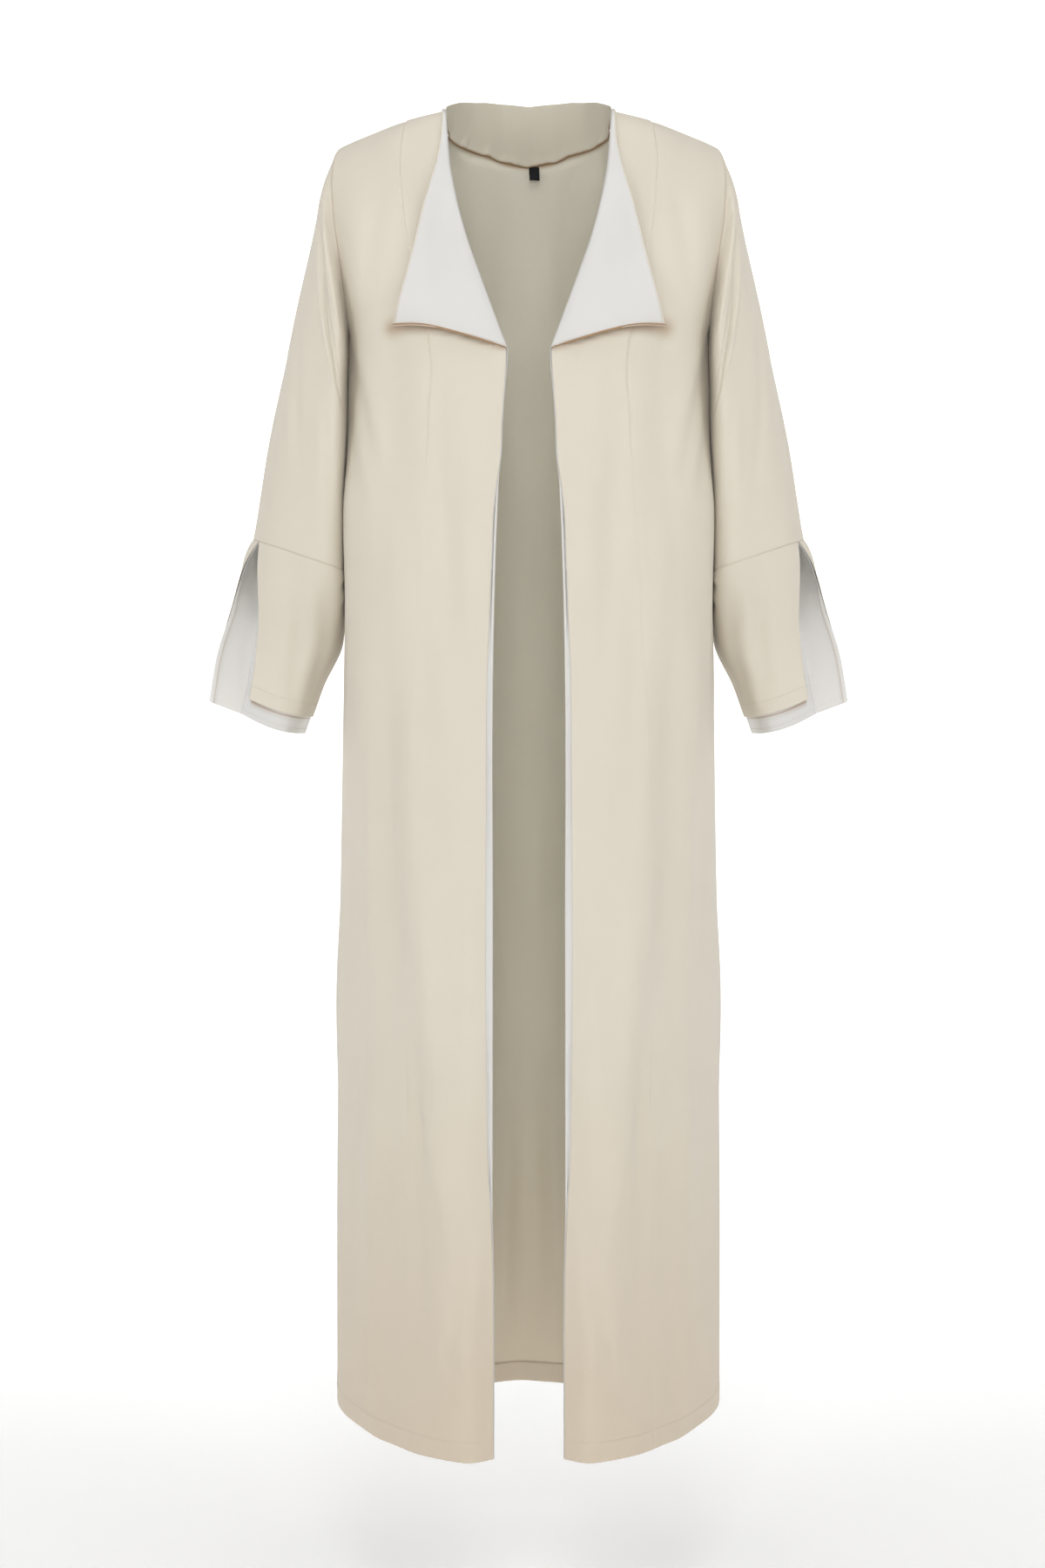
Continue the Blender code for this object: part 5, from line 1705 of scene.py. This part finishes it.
def cuff_relief(grid, steps, strength, wave):
    """Relief that the cuff's crepe and its lining share."""
    round_front, round_back = edge_distances(grid, 1)
    half = np.maximum(round_front[:, CUFF_HALF:CUFF_HALF + 1], LEAST_HALF)
    is_front = np.arange(grid.shape[1])[None, :] <= CUFF_HALF
    across = np.where(is_front, round_front, round_back)
    drop = steps[:, None] * CUFF_LENGTH + np.zeros_like(across)
    relief = creased(CUFF_CREASES, across, drop, strength * CUFF_CREASED)
    across_turns, drop_turns = CUFF_WAVES
    relief += wave * SLEEVE_WAVE * np.sin(across / half * across_turns + drop * drop_turns)
    slit = np.minimum(round_front, round_back)
    return relief * calm(slit, SLIT_CALM) * smooth_step(drop / CUFF_TOP_CALM + CUFF_TOP_KEPT)


def sewn_relief(sewing, from_edge, along, from_line, pucker):
    """Relief of a cuff layer's turned-in edges and of the sunk, puckered line of its stitches."""
    return (rolled(from_edge, sewing.edge_width, sewing.edge_depth)
            - sewing.sink * bell(from_line, STITCH_REACH)
            + puckered(along, from_line, sewing.pucker_reach, pucker * sewing.pucker_share))


def set_back(row, part):
    """The crepe's row of a cuff, which ends a little short of the lining at the slit's edges."""
    front, back = (float(read(CREPE_SETBACKS, side, part)) for side in ("front", "back"))
    end = lengths(row)[-1] - back
    spots = np.linspace(front, end, 2 * CUFF_HALF + 1)
    near = np.array(EDGE_STEPS[:-1])
    fine = np.concatenate([spots[:1], front + near, spots[2:-2], end - near, spots[-1:]])
    return sample(row, np.sort(fine))


class ABAYA_OT_cuffs(bpy.types.Operator):
    """Build both cuffs' crepe, open at the slit, with hems and stitches"""

    bl_idname = "abaya.cuffs"
    bl_label = "Cuffs"

    def execute(self, context):
        body = context.scene.abaya_body
        sleeve = context.scene.abaya_sleeve
        stitch_line = sleeve.cuff_hem - CUFF_STITCH_INSET
        steps = places([CUFF_LENGTH * CREPE_END], sleeve.spacing * FINER,
                       fine_at=(-stitch_line,)) * CREPE_END
        base = np.array([cuff_row(part) for part in steps])
        relief = cuff_relief(base, steps, sleeve.crease, body.wave)
        moved = base - normals(base) * relief[..., None]
        grid = np.array([set_back(row, part) for part, row in zip(steps, moved)])
        out = -normals(grid)
        from_top, from_hem = edge_distances(grid, 0)
        from_front, from_back = edge_distances(grid, 1)
        sewing = rolled(from_top, body.seam_width, body.seam_depth / 2)
        sewing += sewn_relief(CREPE_SEWING, np.minimum(from_front, from_back), from_front,
                              from_hem - stitch_line, body.pucker)
        lifted = sum(lift.share * bell(from_front, lift.reach) for lift in CUFF_LIFTS)
        sewing += sleeve.cuff_lift * lifted * bell(from_hem, CUFF_LIFT_RISE)
        points = grid + out * sewing[..., None]
        hemmed = turned_hem(points, out, sleeve.cuff_hem, sleeve.cuff_hem_gap, rows=5)
        fold = CUFF_HALF + len(EDGE_STEPS) - 2
        from_fold = np.abs(from_front - from_front[:, fold:fold + 1])
        fold_shade = (FOLD_SHADE * bell(from_fold, FOLD_SHADE_WIDTH)
                      * bell(from_top - FOLD_SHADE_MIDDLE, FOLD_SHADE_HEIGHT))
        seam = extended(np.maximum(CUFF_SHADE * seam_shade_mask(from_top), fold_shade), len(hemmed))
        threads = [thread_row(points, out, from_hem.mean(axis=1), stitch_line, sleeve.cuff_wall)]
        for side, sided in both_sides([Patch(hemmed, seam)]):
            item = cloth_piece("cuff_cloth_" + side, "cuff_" + side, sided,
                               sleeve.cuff_wall, woven("cream_crepe"))
            sewn("cuff_stitches_", threads, side)
        return {"FINISHED"}


def piped(row, piping):
    """A cuff's row with more points around the piping along its back edge."""
    spots = lengths(row)
    line = spots[-1] - piping + np.array(LINE_STEPS[2:-2])
    return sample(row, np.sort(np.concatenate([spots, line])))


class ABAYA_OT_cuff_linings(bpy.types.Operator):
    """Build both cuffs' satin linings, which reach past the crepe"""

    bl_idname = "abaya.cuff_linings"
    bl_label = "Cuff linings"

    def execute(self, context):
        body = context.scene.abaya_body
        lapel = context.scene.abaya_lapel
        sleeve = context.scene.abaya_sleeve
        crepe_edge = CUFF_LENGTH * (1 - CREPE_END) - sleeve.crepe_shade
        steps = places([CUFF_LENGTH], sleeve.spacing * FINER, fine_at=(-sleeve.piping, -crepe_edge))
        base = np.array([piped(cuff_row(part), sleeve.piping) for part in steps])
        inward = normals(base)
        relief = cuff_relief(base, steps, sleeve.crease, body.wave)
        from_top, from_hem = edge_distances(base, 0)
        from_front, from_back = edge_distances(base, 1)
        slit = np.minimum(from_front, from_back)
        groove = bell(slit - sleeve.piping, GROOVE_WIDTH)
        sewing = sewn_relief(SATIN_SEWING, np.minimum(slit, from_hem), from_front,
                             from_hem - sleeve.piping, body.pucker) - GROOVE_DEPTH * groove
        points = base + inward * (LAYER - relief - sewing)[..., None]
        # Painted shade in the piping's groove, along the top seam and under the crepe's edge.
        along, at_top, reach = GROOVE_SHADE
        sunk = groove * (from_back < FLAP_REACH) * (along + at_top * bell(from_top, reach))
        seam = np.maximum(LINING_TOP_SHADE * seam_shade_mask(from_top), sunk)
        in_front = np.arange(base.shape[1])[None, :] < CUFF_HALF
        width = UNDER_CREPE_WIDTH * (1 + bell(from_front, UNDER_CREPE_CORNER))
        covered = in_front * calm(from_front, UNDER_CREPE_FADE, -UNDER_CREPE_START)
        seam = np.maximum(seam, UNDER_CREPE * bell(from_hem - crepe_edge, width) * covered)
        threads = [thread_row(points, -inward, from_hem.mean(axis=1), sleeve.piping, lapel.wall),
                   thread_row(*(grid.swapaxes(0, 1)[:, FLAP_START:] for grid in (points, inward)),
                              from_back.mean(axis=0), sleeve.piping, lapel.wall)]
        for side, sided in both_sides([Patch(points, seam)]):
            item = cloth_piece("cuff_satin_" + side, "cuff_lining_" + side, sided,
                               lapel.wall, woven("lining_outside"), woven("lining_inside"),
                               (0.0, 0.0, 0.0))
            sewn("lining_stitches_", threads, side)
        return {"FINISHED"}


LABEL_WALL = 0.0003
LABEL_COLUMNS = 13
LABEL_ROWS = (15, 5, 14)    # down the front, round the fold and up the back
LABEL_FOLD = 0.0008         # half the distance between the ribbon's two layers
LABEL_END = 0.001
LABEL_SPREAD = 0.0022       # how far its lower end stands forward
LABEL_SPREAD_POWER = 1.4
LABEL_FORWARD = 0.0019      # from its solid's middle to its upper end
LABEL_RISE = 0.0015         # from its solid's top up to its own
LABEL_SKEW = 0.05           # how far it leans to the side, for each length down
LABEL_TILT = 0.03
LABEL_BEND = 0.0005
LABEL_EDGE = 0.0008
LABEL_THREAD = 0.00016      # from the ribbon's middle out to its stitches


class ABAYA_OT_label(bpy.types.Operator):
    """Build the folded ribbon that hangs from the neck seam"""

    bl_idname = "abaya.label"
    bl_label = "Label"

    def execute(self, context):
        collar = context.scene.abaya_collar
        low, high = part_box("label")
        width, length = collar.label_width, collar.label_length
        front_rows, fold_rows, back_rows = LABEL_ROWS
        turn = np.linspace(0.0, np.pi, fold_rows + 2)[1:-1]
        down = np.concatenate([np.linspace(0.0, length, front_rows), np.full(fold_rows, length),
                               np.linspace(length, LABEL_END, back_rows)])
        lower = down + np.concatenate([np.zeros(front_rows), LABEL_FOLD * np.sin(turn),
                                       np.zeros(back_rows)])
        behind = np.concatenate([np.zeros(front_rows), LABEL_FOLD * (1 - np.cos(turn)),
                                 np.full(back_rows, 2 * LABEL_FOLD)])
        behind -= LABEL_SPREAD * (down / length) ** LABEL_SPREAD_POWER
        across = np.linspace(0.0, width, LABEL_COLUMNS)
        bend = LABEL_BEND * np.sin(np.pi * across / width)
        grid = stack(low.x + across[None, :] + LABEL_SKEW * lower[:, None],
                     (low.y + high.y) / 2 - LABEL_FORWARD + behind[:, None] - bend[None, :],
                     lower[:, None] - high.z - LABEL_RISE + LABEL_TILT * across[None, :])
        seam = seam_shade_mask(*edge_distances(grid, 1), reach=LABEL_EDGE)
        item = cloth_piece("label_ribbon", "label", [Patch(grid, seam)], LABEL_WALL,
                           woven("black_ribbon"))
        out = np.tile([0.0, -1.0, 0.0], (LABEL_COLUMNS, 1))
        threads = stitched_object("label_stitches", [(grid[1] + out * LABEL_THREAD, out)],
                                  context.scene.abaya_stitch, woven("black_ribbon"))
        place_piece(threads)
        return {"FINISHED"}


# ---- Studio ----

PALE_SCALE = 3.0
PALE_DEEP = 0.985
GLOW_START = -0.3           # place along Y from which the backdrop glows more, and where it is full
GLOW_END = 2.2

BOWL_FLOOR = 5.4            # radius of the flat floor
BOWL_BEND = 1.6             # radius of the curve between the floor and the wall
BOWL_WALL = 3.0
BOWL_STEPS = 12
BOWL_TURNS = 96

Light = namedtuple("Light", "name power place aim_drop width height")
LIGHTS = (
    Light("key_light", "key", (0.0, -2.8, 1.8), 0.6, 1.0, 0.8),
    Light("front_light", "front", (0.0, -3.6, -0.3), 0.7, 1.2, 1.6),
    Light("side_light_left", "side", (2.6, -2.0, 0.1), 0.7, 1.2, 2.2),
    Light("side_light_right", "side", (-2.6, -2.0, 0.1), 0.7, 1.2, 2.2),
    Light("top_light", "top", (0.0, -0.5, 2.0), 0.4, 1.6, 1.4),
)
SENSOR_WIDTH = 36.0
CAMERA_ASIDE = -0.0066


def pale_material(stage):
    """The backdrop's paper, which gives off more light behind the cloak than in front of it."""
    material = bpy.data.materials.new("pale_paper")
    material.use_nodes = True
    tree = material.node_tree
    place = tree.nodes.new("ShaderNodeTexCoord").outputs["Object"]
    colour = mixed(tree, noise(tree, place, PALE_SCALE, 3.0), opaque(stage.pale),
                   opaque(stage.pale, PALE_DEEP))
    behind = ranged(tree, split_axes(tree, place)["Y"], 0.0, 1.0, GLOW_START, GLOW_END)
    glow = mixed(tree, behind, opaque([stage.front_glow] * 3), (1.0, 1.0, 1.0, 1.0))
    feed_all(tree, tree.nodes["Principled BSDF"], {
        "Base Color": colour, "Roughness": 0.9, "Specular IOR Level": 0.1, "Emission Color": glow,
        "Emission Strength": stage.glow})
    return material


def bowl_object(stage):
    """A round floor that curves up into a wall all round."""
    bend = np.linspace(0.0, np.pi / 2, BOWL_STEPS)[1:]
    wall = np.array([0.25, 0.5, 0.75, 1.0]) * BOWL_WALL
    radii = np.concatenate([np.linspace(0.0, BOWL_FLOOR, BOWL_STEPS)[1:],
                            BOWL_FLOOR + BOWL_BEND * np.sin(bend),
                            np.full(len(wall), BOWL_FLOOR + BOWL_BEND)])
    heights = np.concatenate([np.zeros(BOWL_STEPS - 1), BOWL_BEND * (1 - np.cos(bend)),
                              BOWL_BEND + wall]) - stage.floor
    angles = 2 * np.pi * np.arange(BOWL_TURNS) / BOWL_TURNS
    shell = bmesh.new()
    centre = shell.verts.new((0.0, 0.0, -stage.floor))
    rings = [[shell.verts.new((radius * math.cos(angle), radius * math.sin(angle), height))
              for angle in angles] for radius, height in zip(radii, heights)]
    for turn in range(BOWL_TURNS):
        after = (turn + 1) % BOWL_TURNS
        shell.faces.new((centre, rings[0][turn], rings[0][after]))
        for low, high in zip(rings, rings[1:]):
            shell.faces.new((low[turn], high[turn], high[after], low[after]))
    return smooth_object("studio_bowl", shell, pale_material(stage))


def soft_light(light, power):
    data = bpy.data.lights.new(light.name, "AREA")
    data.shape = "RECTANGLE"
    data.size = light.width
    data.size_y = light.height
    data.energy = power
    item = linked(light.name, data)
    item.location = light.place
    aim = Vector((0.0, 0.0, -light.aim_drop)) - item.location
    item.rotation_euler = aim.to_track_quat("-Z", "Y").to_euler()


class ABAYA_OT_stage(bpy.types.Operator):
    """Build the floor and backdrop, the lights and the camera"""

    bl_idname = "abaya.stage"
    bl_label = "Studio"

    def execute(self, context):
        stage = context.scene.abaya_stage
        bowl_object(stage)
        for light in LIGHTS:
            soft_light(light, getattr(stage, light.power))
        world = bpy.data.worlds.new("studio_world")
        world.use_nodes = True
        feed_all(world.node_tree, world.node_tree.nodes["Background"],
                 {"Color": (1.0, 1.0, 1.0, 1.0), "Strength": stage.world})
        context.scene.world = world
        data = bpy.data.cameras.new("studio_camera")
        data.lens = stage.lens
        data.sensor_width = SENSOR_WIDTH
        camera = linked("studio_camera", data)
        camera.location = (CAMERA_ASIDE, -stage.distance, -stage.height)
        camera.rotation_euler = (math.pi / 2 - stage.tilt, 0.0, 0.0)
        context.scene.camera = camera
        context.scene.view_settings.view_transform = "Standard"
        context.scene.view_settings.look = "None"
        return {"FINISHED"}


# ---- Add-on ----

PIECES = (ABAYA_OT_back, ABAYA_OT_fronts, ABAYA_OT_facings, ABAYA_OT_collar, ABAYA_OT_sleeves,
          ABAYA_OT_cuffs, ABAYA_OT_cuff_linings, ABAYA_OT_label, ABAYA_OT_stage)
SETTINGS = {
    "abaya_body": AbayaBodySettings, "abaya_lapel": AbayaLapelSettings,
    "abaya_sleeve": AbayaSleeveSettings, "abaya_collar": AbayaCollarSettings,
    "abaya_stitch": AbayaStitchSettings, "abaya_finish": AbayaFinishSettings,
    "abaya_stage": AbayaStageSettings,
}


class ABAYA_PT_panel(bpy.types.Panel):
    """Sizes, colours and pieces of the cloak"""

    bl_idname = "ABAYA_PT_panel"
    bl_label = "Abaya Cloak"
    bl_space_type = "VIEW_3D"
    bl_region_type = "UI"
    bl_category = "Abaya"

    def draw(self, context):
        for name, group in SETTINGS.items():
            box = self.layout.box()
            box.label(text=group.__doc__)
            for key in group.__annotations__:
                box.prop(getattr(context.scene, name), key)
        for piece in PIECES:
            self.layout.operator(piece.bl_idname)


def register():
    for item in (*SETTINGS.values(), *PIECES, ABAYA_PT_panel):
        bpy.utils.register_class(item)
    for name, group in SETTINGS.items():
        setattr(bpy.types.Scene, name, PointerProperty(type=group))


def unregister():
    for name in SETTINGS:
        delattr(bpy.types.Scene, name)
    for item in (ABAYA_PT_panel, *PIECES, *SETTINGS.values()):
        bpy.utils.unregister_class(item)


def main():
    register()
    bpy.ops.abaya.back()
    bpy.ops.abaya.fronts()
    bpy.ops.abaya.facings()
    bpy.ops.abaya.collar()
    bpy.ops.abaya.sleeves()
    bpy.ops.abaya.cuffs()
    bpy.ops.abaya.cuff_linings()
    bpy.ops.abaya.label()
    bpy.ops.abaya.stage()


if __name__ == "__main__":
    main()
